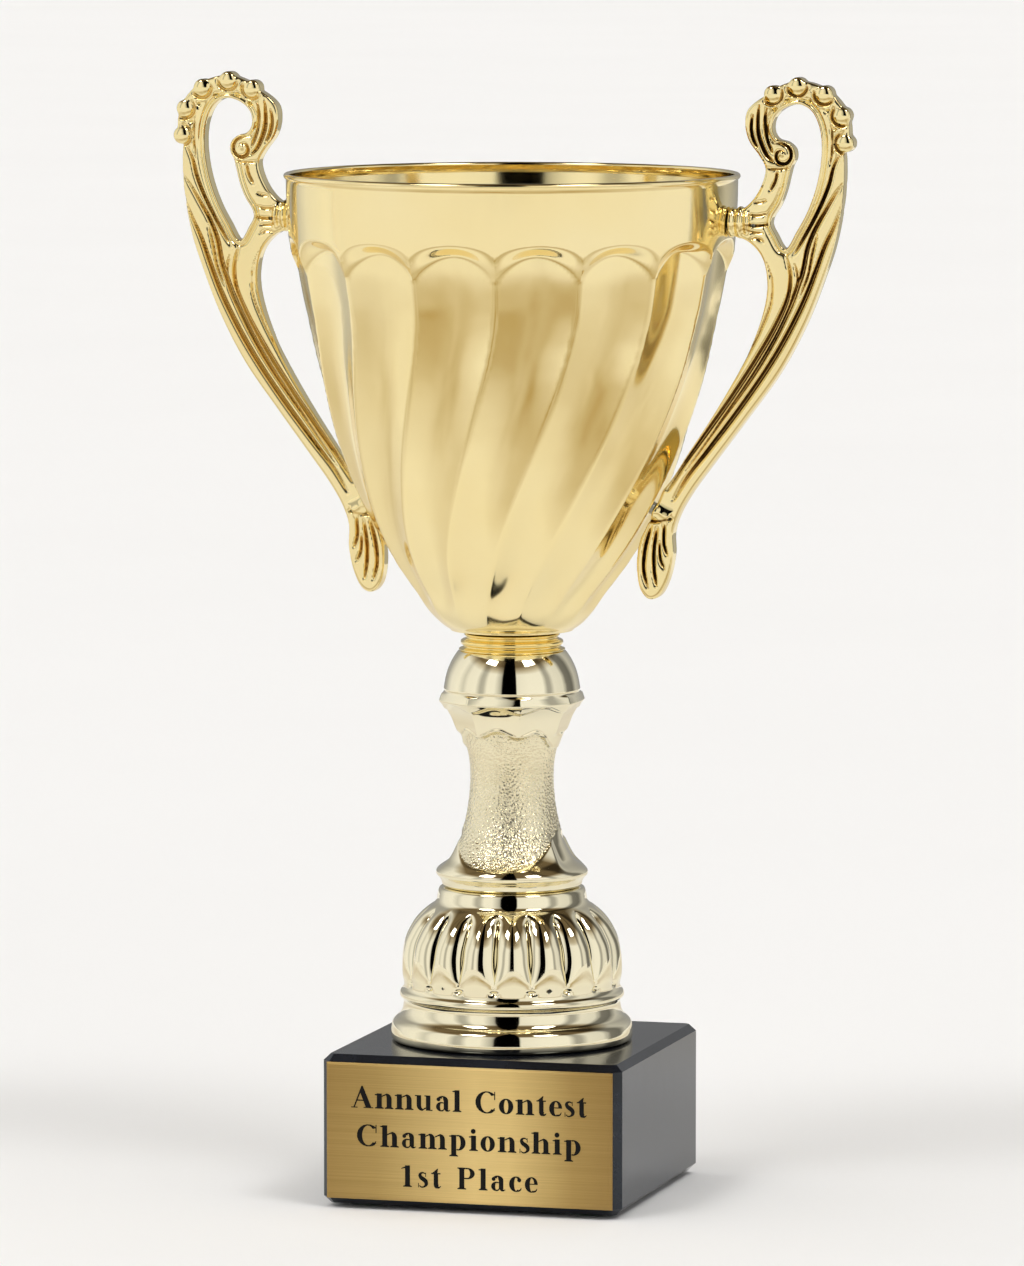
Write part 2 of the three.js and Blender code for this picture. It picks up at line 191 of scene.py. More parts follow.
def noise_node(tree, vector, scale, detail=4.0, rough=0.5):
    node = add_node(tree, "ShaderNodeTexNoise", Scale=scale, Detail=detail, Roughness=rough)
    tree.links.new(vector, node.inputs["Vector"])
    return node.outputs["Fac"]


def cell_node(tree, vector, scale, **values):
    node = add_node(tree, "ShaderNodeTexVoronoi", Scale=scale, **values)
    tree.links.new(vector, node.inputs["Vector"])
    return node.outputs["Distance"]


def mixed(tree, kind, a, b):
    mix = add_node(tree, "ShaderNodeMix", data_type="RGBA", blend_type=kind)
    mix.inputs["Factor"].default_value = 1.0
    tree.links.new(a, mix.inputs["A"])
    tree.links.new(b, mix.inputs["B"])
    return mix.outputs["Result"]


def remap(tree, value, low, high, from_low=0.3, from_high=0.7):
    node = tree.nodes.new("ShaderNodeMapRange")
    node.inputs["From Min"].default_value = from_low
    node.inputs["From Max"].default_value = from_high
    node.inputs["To Min"].default_value = low
    node.inputs["To Max"].default_value = high
    tree.links.new(value, node.inputs["Value"])
    return node.outputs["Result"]


def ramp(tree, value, stops):
    node = tree.nodes.new("ShaderNodeValToRGB")
    ramp_data = node.color_ramp
    while len(ramp_data.elements) < len(stops):
        ramp_data.elements.new(0.5)
    for element, (place, colour) in zip(ramp_data.elements, stops):
        element.position = place
        element.color = (*colour, 1.0)
    tree.links.new(value, node.inputs["Fac"])
    return node.outputs["Color"]


def dress(tree, shader, colour, roughness, layers):
    """Colour and roughness outputs, and (height output, strength, millimetres) bumps."""
    tree.links.new(colour, shader.inputs["Base Color"])
    if roughness is not None:
        tree.links.new(roughness, shader.inputs["Roughness"])
    normal = None
    for height, strength, distance in layers:
        bump = add_node(tree, "ShaderNodeBump", Strength=strength, Distance=distance * MM)
        tree.links.new(height, bump.inputs["Height"])
        if normal is not None:
            tree.links.new(normal, bump.inputs["Normal"])
        normal = bump.outputs["Normal"]
    tree.links.new(normal, shader.inputs["Normal"])


def plating(name, light, deep, low_rough, high_rough, wave_mm=0.05, wave_scale=70.0):
    """Bright gold plating: slight colour drift, wiping marks in the gloss, a soft wave."""
    material, tree, shader = new_material(name, {"Metallic": 1.0})
    vector = object_coordinates(tree)
    drift = noise_node(tree, vector, 22.0, 3.0)
    smear = noise_node(tree, object_coordinates(tree, (1.0, 1.0, 0.35)), 160.0, 6.0, 0.6)
    wave = noise_node(tree, vector, wave_scale, 2.0)
    grain = noise_node(tree, vector, 2600.0, 2.0)
    dress(tree, shader, ramp(tree, drift, [(0.35, deep), (0.65, light)]),
          remap(tree, smear, low_rough, high_rough), [(wave, 0.5, wave_mm), (grain, 0.08, 0.01)])
    return material


def plating_with_painted_groove_shade():
    """Gold plating, darkened brown as painted shade where a mesh attribute marks a chased line."""
    material = plating("gold plating with painted groove shade", (0.93, 0.79, 0.42), (0.90, 0.74, 0.37), 0.03, 0.09)
    tree = material.node_tree
    base = tree.nodes["Principled BSDF"].inputs["Base Color"]
    groove_shade = add_node(tree, "ShaderNodeAttribute", attribute_name="painted_shade_layer")
    # painted shade: white leaves the plating as it is, dark brown stands in for the grooves' shadow
    painted_shading = ramp(tree, groove_shade.outputs["Fac"], [
        (0.0, (1.0, 1.0, 1.0)), (0.35, (0.75, 0.62, 0.42)),
        (0.7, (0.16, 0.10, 0.05)), (1.0, (0.04, 0.025, 0.012)),
    ])
    tree.links.new(mixed(tree, "MULTIPLY", base.links[0].from_socket, painted_shading), base)
    return material


def pebbled_plating():
    """The stem's matt panel: the same plating over a fine pebbled mould face."""
    material, tree, shader = new_material("pebbled plating", {"Metallic": 1.0})
    vector = object_coordinates(tree)
    pebble = cell_node(tree, vector, 1500.0, feature="SMOOTH_F1", Smoothness=0.6)
    tint = noise_node(tree, vector, 300.0, 3.0)
    colour = ramp(tree, tint, [(0.3, (0.87, 0.79, 0.55)), (0.7, (0.93, 0.85, 0.61))])
    grain = noise_node(tree, vector, 1900.0, 3.0, 0.6)
    dress(tree, shader, colour, remap(tree, tint, 0.17, 0.25),
          [(pebble, 0.8, 0.26), (grain, 0.5, 0.16)])
    return material


def polished_stone():
    material, tree, shader = new_material("polished black stone", {
        "IOR": 1.5, "Specular Tint": (0.86, 0.93, 1.0, 1.0),
    })
    vector = object_coordinates(tree)
    cloud = noise_node(tree, vector, 38.0, 8.0, 0.62)
    colour = ramp(tree, cloud, [(0.4, (0.004, 0.005, 0.008)), (0.72, (0.016, 0.019, 0.027))])
    haze = noise_node(tree, object_coordinates(tree, (1.0, 1.0, 0.2)), 240.0, 6.0, 0.65)
    fine = noise_node(tree, vector, 1800.0, 2.0)
    dress(tree, shader, colour, remap(tree, haze, 0.05, 0.16), [(fine, 0.05, 0.01)])
    return material


def brushed_brass():
    """Brass brushed along the plate, with painted shade towards its ends and a painted highlight in
    its middle.
    """
    material, tree, shader = new_material("brushed brass", {"Metallic": 1.0, "Anisotropic": 0.6})
    streaks = noise_node(tree, object_coordinates(tree, (5.0, 1.0, 2600.0)), 3.0, 3.0, 0.6)
    broad = noise_node(tree, object_coordinates(tree, (2.0, 1.0, 160.0)), 4.0, 3.0, 0.5)
    split = tree.nodes.new("ShaderNodeSeparateXYZ")
    tree.links.new(object_coordinates(tree), split.inputs["Vector"])
    half = 0.0395                 # metres, a little more than half the plate's width
    # painted shade and highlight: colour by place across the plate, dark at the ends, bright in the
    # middle
    painted_shading = ramp(tree, remap(tree, split.outputs["X"], 0.0, 1.0, -half, half), [
        (0.0, (0.44, 0.29, 0.10)), (0.18, (0.52, 0.36, 0.13)), (0.52, (0.93, 0.70, 0.30)),
        (0.64, (0.90, 0.67, 0.28)), (0.86, (0.50, 0.34, 0.12)), (1.0, (0.40, 0.26, 0.09)),
    ])
    line = ramp(tree, streaks, [(0.3, (0.80, 0.79, 0.76)), (0.7, (1.0, 1.0, 1.0))])
    dress(tree, shader, mixed(tree, "MULTIPLY", painted_shading, line), remap(tree, broad, 0.30, 0.42),
          [(streaks, 0.18, 0.015)])
    return material


def black_fill():
    material, tree, shader = new_material("black engraving fill", {"Specular IOR Level": 0.15})
    grain = noise_node(tree, object_coordinates(tree), 1500.0, 3.0)
    colour = ramp(tree, grain, [(0.3, (0.002, 0.002, 0.002)), (0.7, (0.006, 0.005, 0.005))])
    dress(tree, shader, colour, remap(tree, grain, 0.35, 0.55), [(grain, 0.2, 0.02)])
    return material


def zinc_steel():
    material, tree, shader = new_material("zinc plated steel", {"Metallic": 1.0})
    vector = object_coordinates(tree)
    spangle = cell_node(tree, vector, 900.0)
    tint = noise_node(tree, vector, 260.0, 4.0)
    colour = ramp(tree, tint, [(0.3, (0.50, 0.52, 0.55)), (0.7, (0.74, 0.74, 0.72))])
    dress(tree, shader, colour, remap(tree, tint, 0.22, 0.4), [(spangle, 0.15, 0.02)])
    return material


def felt():
    material, tree, shader = new_material("felt", {"Sheen Weight": 0.6, "Roughness": 0.95})
    fibre = noise_node(tree, object_coordinates(tree), 1400.0, 6.0, 0.7)
    colour = ramp(tree, fibre, [(0.35, (0.008, 0.016, 0.010)), (0.7, (0.03, 0.055, 0.035))])
    dress(tree, shader, colour, None, [(fibre, 0.9, 0.15)])
    return material


def foam_tape():
    material, tree, shader = new_material("foam tape")
    cells = cell_node(tree, object_coordinates(tree), 2200.0)
    colour = ramp(tree, cells, [(0.1, (0.62, 0.6, 0.55)), (0.7, (0.86, 0.85, 0.8))])
    dress(tree, shader, colour, remap(tree, cells, 0.6, 0.85), [(cells, 0.4, 0.05)])
    return material


SHEET_GOLD = plating("gold sheet", (0.96, 0.82, 0.46), (0.94, 0.78, 0.40), 0.07, 0.15, 0.42, 46.0)
GOLD_WITH_PAINTED_GROOVE_SHADE = plating_with_painted_groove_shade()
DEEP_GOLD = plating("deep gold plating", (0.95, 0.77, 0.33), (0.92, 0.71, 0.27), 0.03, 0.09)
PALE_GOLD = plating("pale gold plating", (0.93, 0.86, 0.63), (0.90, 0.82, 0.58), 0.03, 0.08)
STONE = polished_stone()
BRASS = brushed_brass()
FILL = black_fill()
STEEL = zinc_steel()
FELT = felt()
TAPE = foam_tape()
PEBBLED = pebbled_plating()


# ---------------------------------------------------------------- cup

CUP_WALL = 0.8
FLUTES = 16
FLUTE_FOOT = 152.7
FLUTE_TWIST = -0.66
ARCH_TOP = 256.6
ARCH_CUSP = 251.6
RIM_TOP = 273.25
RIM_ROLL = 0.75
ROLL_FOOT = 271.6             # where the rim's roll starts
FLUTE_TURN_TOP = 240.0        # the flutes run straight above this height
FLUTE_DEPTH = 2.5
# (radius, height) of the body's ridges, and of the plain band and where it would run on
CUP_BODY = [
    (12.5, 150.6), (15.6, 151.2), (18.3, 152.7), (22.0, 156.3), (25.9, 161.9), (30.6, 168.3),
    (35.1, 175.5), (39.5, 184.2), (44.9, 197.2), (48.2, 206.8), (51.7, 219.7), (54.3, 232.5),
    (56.2, 242.1), (57.3, 248.4), (58.2, 256.0),
]
CUP_BAND = [(59.0, 247.0), (59.35, 254.8), (59.75, 261.0), (60.05, 267.6), (60.1, 272.5)]


def cup_radius(angle, height):
    """Outer radius of the cup: the plain band above the arches, flutes below them."""
    body = spline(CUP_BODY, 600)
    band = spline(CUP_BAND, 200)
    ridge = np.interp(height, body[:, 1], body[:, 0])
    plain = np.interp(height, band[:, 1], band[:, 0])
    fall = np.clip((FLUTE_TURN_TOP - height) / (FLUTE_TURN_TOP - FLUTE_FOOT), 0.0, 1.0)
    pitch = 2 * math.pi / FLUTES
    across = (angle - FRONT - FLUTE_TWIST * fall ** 1.5) / pitch
    u = 2.0 * (across - np.round(across))
    edge = ARCH_CUSP + (ARCH_TOP - ARCH_CUSP) * np.clip(1 - u * u, 0, 1) ** 0.7
    below = 1.0 - smoothstep(edge - 2.6 - 2.4 * u * u, edge + 0.3 + 1.6 * u * u, height)
    foot = smoothstep(FLUTE_FOOT - 1.0, FLUTE_FOOT + 15.0, height)
    foot = foot * (0.68 + 0.32 * smoothstep(170.0, 215.0, height))
    channel = 0.8 * (1 - u * u) + 0.2 * (0.5 + 0.5 * np.cos(math.pi * u))
    depth = FLUTE_DEPTH * foot * channel
    return plain * (1 - below) + (ridge - depth) * below


def build_cup():
    """One sheet from the hole in the floor, out and up, over the rolled rim and back."""
    cols = FLUTES * 24
    angle = round_axis(cols)
    heights = np.concatenate([
        np.linspace(151.6, 160, 16)[:-1], np.linspace(160, 244, 70)[:-1],
        np.linspace(244, 259, 44)[:-1], np.linspace(259, ROLL_FOOT, 10),
    ])
    outer_r = cup_radius(angle, heights[:, None])
    outer_z = np.repeat(heights[:, None], cols, 1)
    turns = np.radians(np.linspace(-60, 215, 12))[:, None]
    roll_r = cup_radius(angle, np.array([[ROLL_FOOT]])) - 0.1 + RIM_ROLL * np.cos(turns)
    roll_z = np.broadcast_to(RIM_TOP - RIM_ROLL + RIM_ROLL * np.sin(turns), roll_r.shape)
    inner_h = heights[::-1][1::2]
    slope = np.gradient(outer_r.mean(1), heights)[::-1][1::2, None]
    tilt = np.sqrt(1 + slope ** 2)
    # the sheet is folded double under the rim, so its inner face opens a little more there
    fold = between(inner_h, (240, 259), (259, 272))
    wall = (CUP_WALL + 0.75 * fold)[:, None]
    inner_r = outer_r[::-1][1::2] - wall / tilt
    inner_z = np.repeat(inner_h[:, None], cols, 1) + wall * slope / tilt
    foot = [(ROD_HOLE, 150.6), (8.0, 150.6), (12.6, 150.62), (15.2, 151.05), (16.4, 151.3)]
    floor = [(15.0, 151.95), (12.4, 151.45), (8.0, 151.4), (ROD_HOLE, 151.4)]
    _, foot_r, foot_z = spread(foot, cols)
    _, floor_r, floor_z = spread(floor, cols)
    radius = np.vstack([foot_r, outer_r, roll_r, inner_r, floor_r])
    height = np.vstack([foot_z, outer_z, roll_z, inner_z, floor_z])
    cup = ring_mesh("cup", angle, radius, height, [SHEET_GOLD], 50)
    return stands_for(cup, "cup_bowl")


# ---------------------------------------------------------------- collar, stem and dome


def build_collar():
    profile = [
        (ROD_HOLE, 145.75), (13.2, 145.75), (14.0, 145.9), (14.2, 146.25), (13.6, 146.5),
        (13.1, 146.9), (13.1, 147.25), (13.5, 147.5), (13.65, 147.75), (13.65, 148.45),
        (13.35, 148.7), (12.7, 148.9), (12.35, 149.25), (12.4, 149.7), (12.75, 149.95), (12.65, 150.3),
        (11.7, 150.5), (ROD_HOLE, 150.5),
    ]
    smooth = [profile[0], *even(profile[1:-1], 0.12).tolist(), profile[-1]]
    collar = lathe("collar", smooth, 160, [DEEP_GOLD], 60)
    return stands_for(collar, "cup_collar")


STEM_OUTER = [
    (17.8, 82.3), (18.6, 82.9), (18.95, 84.0), (19.5, 84.9), (20.15, 85.6), (20.35, 86.4),
    (20.0, 87.2), (19.2, 88.2), (17.3, 90.2), (15.2, 94.0), (13.3, 98.4), (12.25, 103.0),
    (11.65, 108.0), (11.5, 112.4), (11.8, 116.7), (12.7, 120.6), (14.0, 123.8), (15.6, 127.4),
    (17.5, 130.2), (18.75, 131.9), (19.1, 132.3), (19.1, 132.6), (18.75, 133.8), (18.4, 134.8),
    (18.2, 136.0), (17.8, 138.3), (17.1, 140.8), (15.9, 143.4), (14.8, 145.1), (14.3, 145.7),
]
FACETS = 8
FACET_PITCH = 2 * math.pi / FACETS


def stem_fields(angle, height):
    """Facet flatness, panel mask, turn off the facet's middle and nearness to the +X/-X side."""
    turn = (angle - FRONT) / FACET_PITCH
    off = (turn - np.round(turn)) * FACET_PITCH
    neck = between(height, (123.2, 124.6), (134.3, 135.0))
    neck = neck * (1 - 0.45 * smoothstep(129.0, 131.5, height))
    flat = np.cos(FACET_PITCH / 2) / np.cos(off) * 1.045 - 1.0
    side = np.abs(np.cos(angle))
    low = 88.4 + 10.0 * side ** 3.0
    high = 123.9 - 4.6 * side ** 6.0 + 0.7 * np.cos(off * FACETS)
    panel = between(height, (low - 0.35, low + 0.35), (high - 0.3, high + 0.3))
    return flat * neck, panel, off, side


def stem_radius(angle, radius, height):
    """The stem's radius with its facets, sunk panels, scalloped skirt, ridges and leaves."""
    flat, panel, off, side = stem_fields(angle, height)
    scallop = 131.2 + 0.8 * np.cos(off * FACETS)
    under = 1 - smoothstep(scallop - 0.5, scallop + 0.1, height)
    zone = between(height, (125.5, 130.0), (132.1, 132.5))
    groove = ripple(height - 135.0, 0.35)
    leaf = between(height, (86.8, 90.0), (94.0, 99.0)) * smoothstep(0.86, 0.95, side)
    arch = 124.6 + 0.9 * np.cos(off * FACETS) - 4.6 * side ** 6.0
    ridge = ripple(height - arch, 0.4) * (1 - smoothstep(0.9, 0.97, side))
    shaped = radius * (1 + flat) - 0.35 * panel - 0.55 * under * zone - 0.22 * groove + 0.4 * ridge
    return shaped - 1.1 * leaf


def build_stem():
    cols = 288
    outer = even(STEM_OUTER, 0.25)
    inner = [(ROD_HOLE, 145.75), (ROD_HOLE, 143.2), (12.5, 142.8), (15.4, 136), (11.4, 124),
             (8.9, 113), (9.0, 106), (11.2, 98), (15.4, 90), (16.2, 86), (16.2, 82.3)]
    angle, radius, height = spread(np.vstack([outer, np.array(inner)]), cols)
    n = len(outer)
    radius[:n] = stem_radius(angle, radius[:n], height[:n])
    _, panel, _, _ = stem_fields(angle, height[:n])
    x = radius[:n] * np.cos(angle)
    y = radius[:n] * np.sin(angle)
    pebble = np.zeros_like(radius[:n])
    for row, col in np.argwhere(panel > 0.05):
        place = Vector((x[row, col], y[row, col], height[row, col])) * 1.75
        pebble[row, col] = noise.noise(place, noise_basis="PERLIN_ORIGINAL")
    coarse = 1 - smoothstep(96.0, 116.0, height[:n])
    radius[:n] += (0.06 + 0.16 * coarse) * panel * pebble
    indices = np.zeros(radius.shape, np.int32)
    indices[:n] = panel > 0.5
    stem = ring_mesh("stem", angle, radius, height, [PALE_GOLD, PEBBLED], 50, indices.ravel())
    return stands_for(stem, "stem_riser")


LOBES = 18
LOBE_TURN = math.radians(-3.9)
DOME_OUTER = [
    (31.4, 41.0), (32.2, 41.5), (32.45, 42.6), (32.35, 44.2), (31.95, 46.0), (31.1, 47.0),
    (30.2, 47.7), (29.5, 48.8), (29.15, 50.2), (29.05, 51.6), (29.35, 52.3), (29.9, 52.8),
    (30.05, 53.6), (29.8, 54.4), (29.3, 54.9), (29.0, 55.7), (29.1, 57.0), (29.45, 59.0),
    (29.55, 61.5), (29.3, 65.0), (28.6, 68.2), (27.5, 70.6), (26.1, 72.9), (24.2, 75.1),
    (22.2, 76.9), (20.7, 78.0), (20.15, 78.9), (19.95, 80.0), (19.7, 81.4), (19.3, 82.1),
    (18.8, 82.25),
]


def dome_radius(angle, radius, height):
    """Radius of the dome with its gadroons, and a punched pit at the foot of each groove."""
    turn = (angle - LOBE_TURN) * LOBES / (2 * math.pi)
    u = 2 * np.abs(turn - np.round(turn))
    zone = between(height, (55.4, 59.0), (74.4, 77.8))
    belly = 0.35 + 0.65 * smoothstep(56.0, 66.0, height)
    lobe = 0.55 * (1 - np.sqrt(np.clip(1 - (1 - u) ** 2.0, 0, 1))) + 0.45 * (1 - u) ** 1.7
    pit = np.exp(-((height - 57.0) / 0.55) ** 2 - (u / 0.2) ** 2)
    return radius - 2.7 * zone * belly * lobe + 0.2 * zone - 0.9 * pit


def build_dome():
    outer = even(DOME_OUTER, 0.28)
    inner = [(ROD_HOLE, 82.25), (ROD_HOLE, 78.2), (16.0, 77.8), (22.8, 71), (25.6, 62), (25.8, 50),
             (28.0, 41)]
    cols = LOBES * 20
    n = len(outer)

    def reshape(angle, radius, height):
        shaped = radius.copy()
        shaped[:n] = dome_radius(angle, radius[:n], height[:n])
        return shaped

    profile = np.vstack([outer, np.array(inner)])
    dome = lathe("dome", profile, cols, [PALE_GOLD], 50, reshape)
    return stands_for(dome, "dome_riser")


# ---------------------------------------------------------------- handles

HANDLE_HALF = 2.5             # half the casting's thickness
HANDLE_ROUND = 0.65           # rounding of its edges
CELL = 0.33                   # size of the sculpting cells
HANDLE_ROOM = [(32.4, 95.2), (-5.25, 5.26), (158.4, 301.2)]
HANDLE_OUTLINE = [
    (58, 264.6), (63.4, 264.6), (66.3, 266.9), (68.7, 270.8), (69.8, 275.4), (68.2, 278.6),
    (65.4, 282.4), (64.3, 286.4), (64.8, 290.4), (67.6, 293.2), (71.5, 295.2), (78.3, 296.7),
    (84.8, 294.8), (88.8, 290.2), (90.6, 284.0), (91.2, 274.0), (90.4, 264.6), (88.5, 255.2),
    (85.6, 246.6), (80.8, 234.6), (73.8, 221.6), (64.5, 208.8), (55.0, 196.2), (50.0, 189.4),
    (46.6, 183.6), (44.9, 178.6), (44.9, 172.6), (43.2, 165.2), (40.8, 161.2), (38.4, 160.5),
    (36.2, 162.6), (35.1, 167.0), (35.2, 173.4), (36.8, 180.0), (36.6, 184.6), (39.0, 187.8),
    (42.5, 190.2), (48.8, 199.4), (57.0, 211.8), (64.3, 224.6), (69.0, 236.2), (70.4, 244.6),
    (69.0, 251.8), (65.2, 256.0), (61.5, 257.3), (58, 257.4),
]
HANDLE_OPENING = [
    (79.0, 292.3), (75.2, 291.4), (72.4, 289.0), (71.7, 285.6), (73.0, 283.2), (75.6, 282.4),
    (77.6, 280.6), (77.9, 278.2), (76.9, 276.2), (76.2, 273.6), (75.2, 269.6), (73.6, 265.6),
    (71.6, 262.4), (71.3, 260.6), (72.6, 258.0), (75.2, 254.2), (78.4, 259.0), (81.4, 264.6),
    (83.8, 271.6), (85.0, 279.6), (84.4, 286.2), (82.2, 290.6),
]
BEADS = [(71.7, 294.9), (78.4, 297.1), (85.7, 295.0), (90.5, 289.4), (91.4, 282.2)]
BEAD_RADIUS = 2.35
BEAD_FOCUS = (80.0, 281.0)    # the point that the beads stand round
CURL = (74.4, 279.2)
# (depth, half width, points) of each groove chased into the faces of the casting
GROOVES = [
    # acanthus lobes beside the curl
    (1.1, 0.62, [(66.3, 289.6), (66.0, 285.6), (66.7, 282.6), (68.0, 280.3)]),
    (1.3, 0.70, [(68.1, 292.0), (67.8, 287.6), (68.0, 284.2), (69.2, 280.8), (70.6, 278.4),
        (72.6, 276.8)]),
    (1.1, 0.62, [(70.0, 291.2), (69.7, 287.6), (70.0, 284.4), (70.9, 281.4), (71.8, 279.0)]),
    # the curl
    (1.1, 0.60, [(72.4, 282.0), (74.4, 282.0), (76.3, 280.8), (76.9, 278.9), (76.1, 277.1),
        (74.6, 276.5), (73.1, 277.2), (72.7, 278.7), (73.5, 280.0), (74.9, 280.0), (75.2, 279.0)]),
    # collar line, neck and folds at the boss
    (0.6, 0.42, [(69.8, 275.5), (73.0, 275.2), (76.6, 275.6)]),
    (0.9, 0.55, [(73.1, 274.9), (72.6, 272.1), (71.1, 269.2)]),
    (0.5, 0.45, [(66.6, 266.5), (68.4, 266.4), (70.3, 267.0)]),
    (0.6, 0.45, [(64.6, 263.4), (67.6, 262.9), (70.9, 263.6)]),
    (0.8, 0.50, [(63.6, 260.9), (66.8, 260.2), (71.0, 260.6)]),
    (0.6, 0.45, [(62.4, 258.4), (64.4, 259.4), (66.2, 258.6), (69.6, 258.4)]),
    (0.5, 0.45, [(65.4, 256.4), (67.4, 257.0), (69.6, 256.0)]),
    # strands of the outer limb, from the last bead down
    (1.2, 0.70, [(90.2, 279.6), (88.4, 276.2), (87.2, 271.6), (85.6, 267.4), (83.2, 262.4),
        (80.2, 257.0), (77.4, 252.4)]),
    (0.7, 0.45, [(87.6, 287.6), (88.0, 282.4), (87.4, 276.2)]),
    (1.4, 0.85, [(90.9, 271.6), (89.0, 269.0), (86.3, 264.6), (83.4, 259.6), (81.4, 254.6),
        (80.0, 248.0), (77.2, 240.4), (73.6, 232.6), (68.4, 223.4), (62.0, 214.0), (56.6, 206.6)]),
    (1.5, 0.85, [(90.6, 266.0), (88.6, 260.6), (85.9, 254.8), (83.4, 248.0), (80.2, 240.0),
        (75.2, 230.2), (70.2, 222.0), (62.6, 211.2), (54.6, 200.8), (48.8, 193.4), (45.0, 187.2)]),
    (0.8, 0.50, [(84.0, 258.6), (82.6, 253.0), (81.4, 247.0), (79.2, 241.6)]),
    (1.6, 0.90, [(75.4, 252.6), (76.6, 248.0), (76.2, 242.0), (73.2, 234.6), (67.8, 225.2),
        (60.8, 214.6), (53.6, 204.6), (47.4, 196.0), (43.4, 189.8)]),
    (0.8, 0.50, [(77.8, 250.6), (78.8, 246.0), (77.4, 240.2), (74.2, 233.8)]),
    (0.7, 0.45, [(71.4, 228.6), (66.0, 219.8), (59.6, 210.6), (52.6, 200.8), (47.8, 194.2)]),
    (0.5, 0.40, [(69.6, 252.4), (71.6, 246.4), (71.4, 240.0), (68.4, 232.2), (62.6, 221.8),
        (54.6, 209.8)]),
    # drop leaf
    (1.3, 0.62, [(39.0, 180.4), (37.3, 174.0), (36.9, 168.4), (38.0, 163.6)]),
    (1.3, 0.62, [(40.6, 180.0), (39.7, 173.4), (39.8, 168.2), (40.5, 163.8)]),
    (1.1, 0.55, [(42.6, 181.2), (42.4, 175.6), (43.4, 172.2)]),
    (1.0, 0.50, [(41.2, 176.2), (41.5, 171.2), (42.7, 168.6)]),
    (0.9, 0.60, [(36.6, 181.9), (40.0, 181.4), (44.8, 182.2)]),
]
PITS = [(72.3, 290.9), (75.7, 293.3), (81.6, 293.1), (86.6, 290.6), (88.5, 285.8)]
# (distance out from the cup's wall, radius) of the ringed boss at the upper seat
BOSS = [
    (-1, 4.1), (0.9, 4.1), (1.4, 3.5), (1.9, 3.5), (2.5, 4.3), (3.1, 4.3), (3.7, 3.5), (4.2, 3.5),
    (4.7, 4.0), (5.3, 4.0), (5.9, 3.2), (6.3, 2.4),
]
UPPER_SEAT = (59.9, 261.0)
LOWER_SEAT = (39.6, 184.4)
LOWER_TILT = 0.44             # radians that the lower screw's nose turns down
MIDWAY = 220.0                # a height between the two seats
BOSS_END = 6.1
LUG_RADIUS, LUG_MIDDLE, LUG_HALF = 3.1, 1.5, 3.2
KNOB = (39.9, 184.0)          # above the drop leaf, on each face
KNOB_OUT, KNOB_RADIUS = 1.6, 2.1
UPPER_REACH = 6.6             # how far a screw goes in from its seat
LOWER_REACH = 4.8
HOLE_RADIUS = 2.1
HOLE_SPARE = 0.4              # screw hole past the screw's nose
OFF = 99                      # pushes a field out of reach where a shape ends


def line_distance(x, z, points, closed=False):
    """Distance to a chain of points, the share of the way along it, and inside or not."""
    pts = list(points) + ([points[0]] if closed else [])
    best = np.full(x.shape, 1e9)
    along = np.zeros(x.shape)
    inside = np.zeros(x.shape, bool)
    for n in range(len(pts) - 1):
        (ax, az), (bx, bz) = pts[n], pts[n + 1]
        dx, dz = bx - ax, bz - az
        t = np.clip(((x - ax) * dx + (z - az) * dz) / max(dx * dx + dz * dz, 1e-9), 0, 1)
        d = np.hypot(x - ax - t * dx, z - az - t * dz)
        near = d < best
        best = np.where(near, d, best)
        along = np.where(near, (n + t) / (len(pts) - 1), along)
        if closed and az != bz:
            inside ^= ((az > z) != (bz > z)) & (x < dx * (z - az) / dz + ax)
    return best, along, inside


def closed_curve(points, step):
    wrapped = [*points[-3:], *points, *points[:3]]
    dense = spline(wrapped, 40 * len(wrapped))
    span = len(wrapped) - 1
    knots = np.linspace(0, span, len(dense))
    first = int(np.argmin(np.hypot(*(dense - points[0]).T) + (knots > span / 2) * 1e3))
    last = int(np.argmin(np.hypot(*(dense - points[0]).T) + (knots < span / 2) * 1e3))
    loop = dense[first:last + 1]
    run = np.concatenate([[0.0], np.cumsum(np.linalg.norm(np.diff(loop, axis=0), axis=1))])
    at = np.linspace(0, run[-1], int(run[-1] / step) + 1)[:-1]
    return np.stack([np.interp(at, run, column) for column in loop.T], 1).tolist()


def smooth_min(a, b, k):
    h = np.clip(0.5 + 0.5 * (b - a) / k, 0, 1)
    return b * (1 - h) + a * h - k * h * (1 - h)


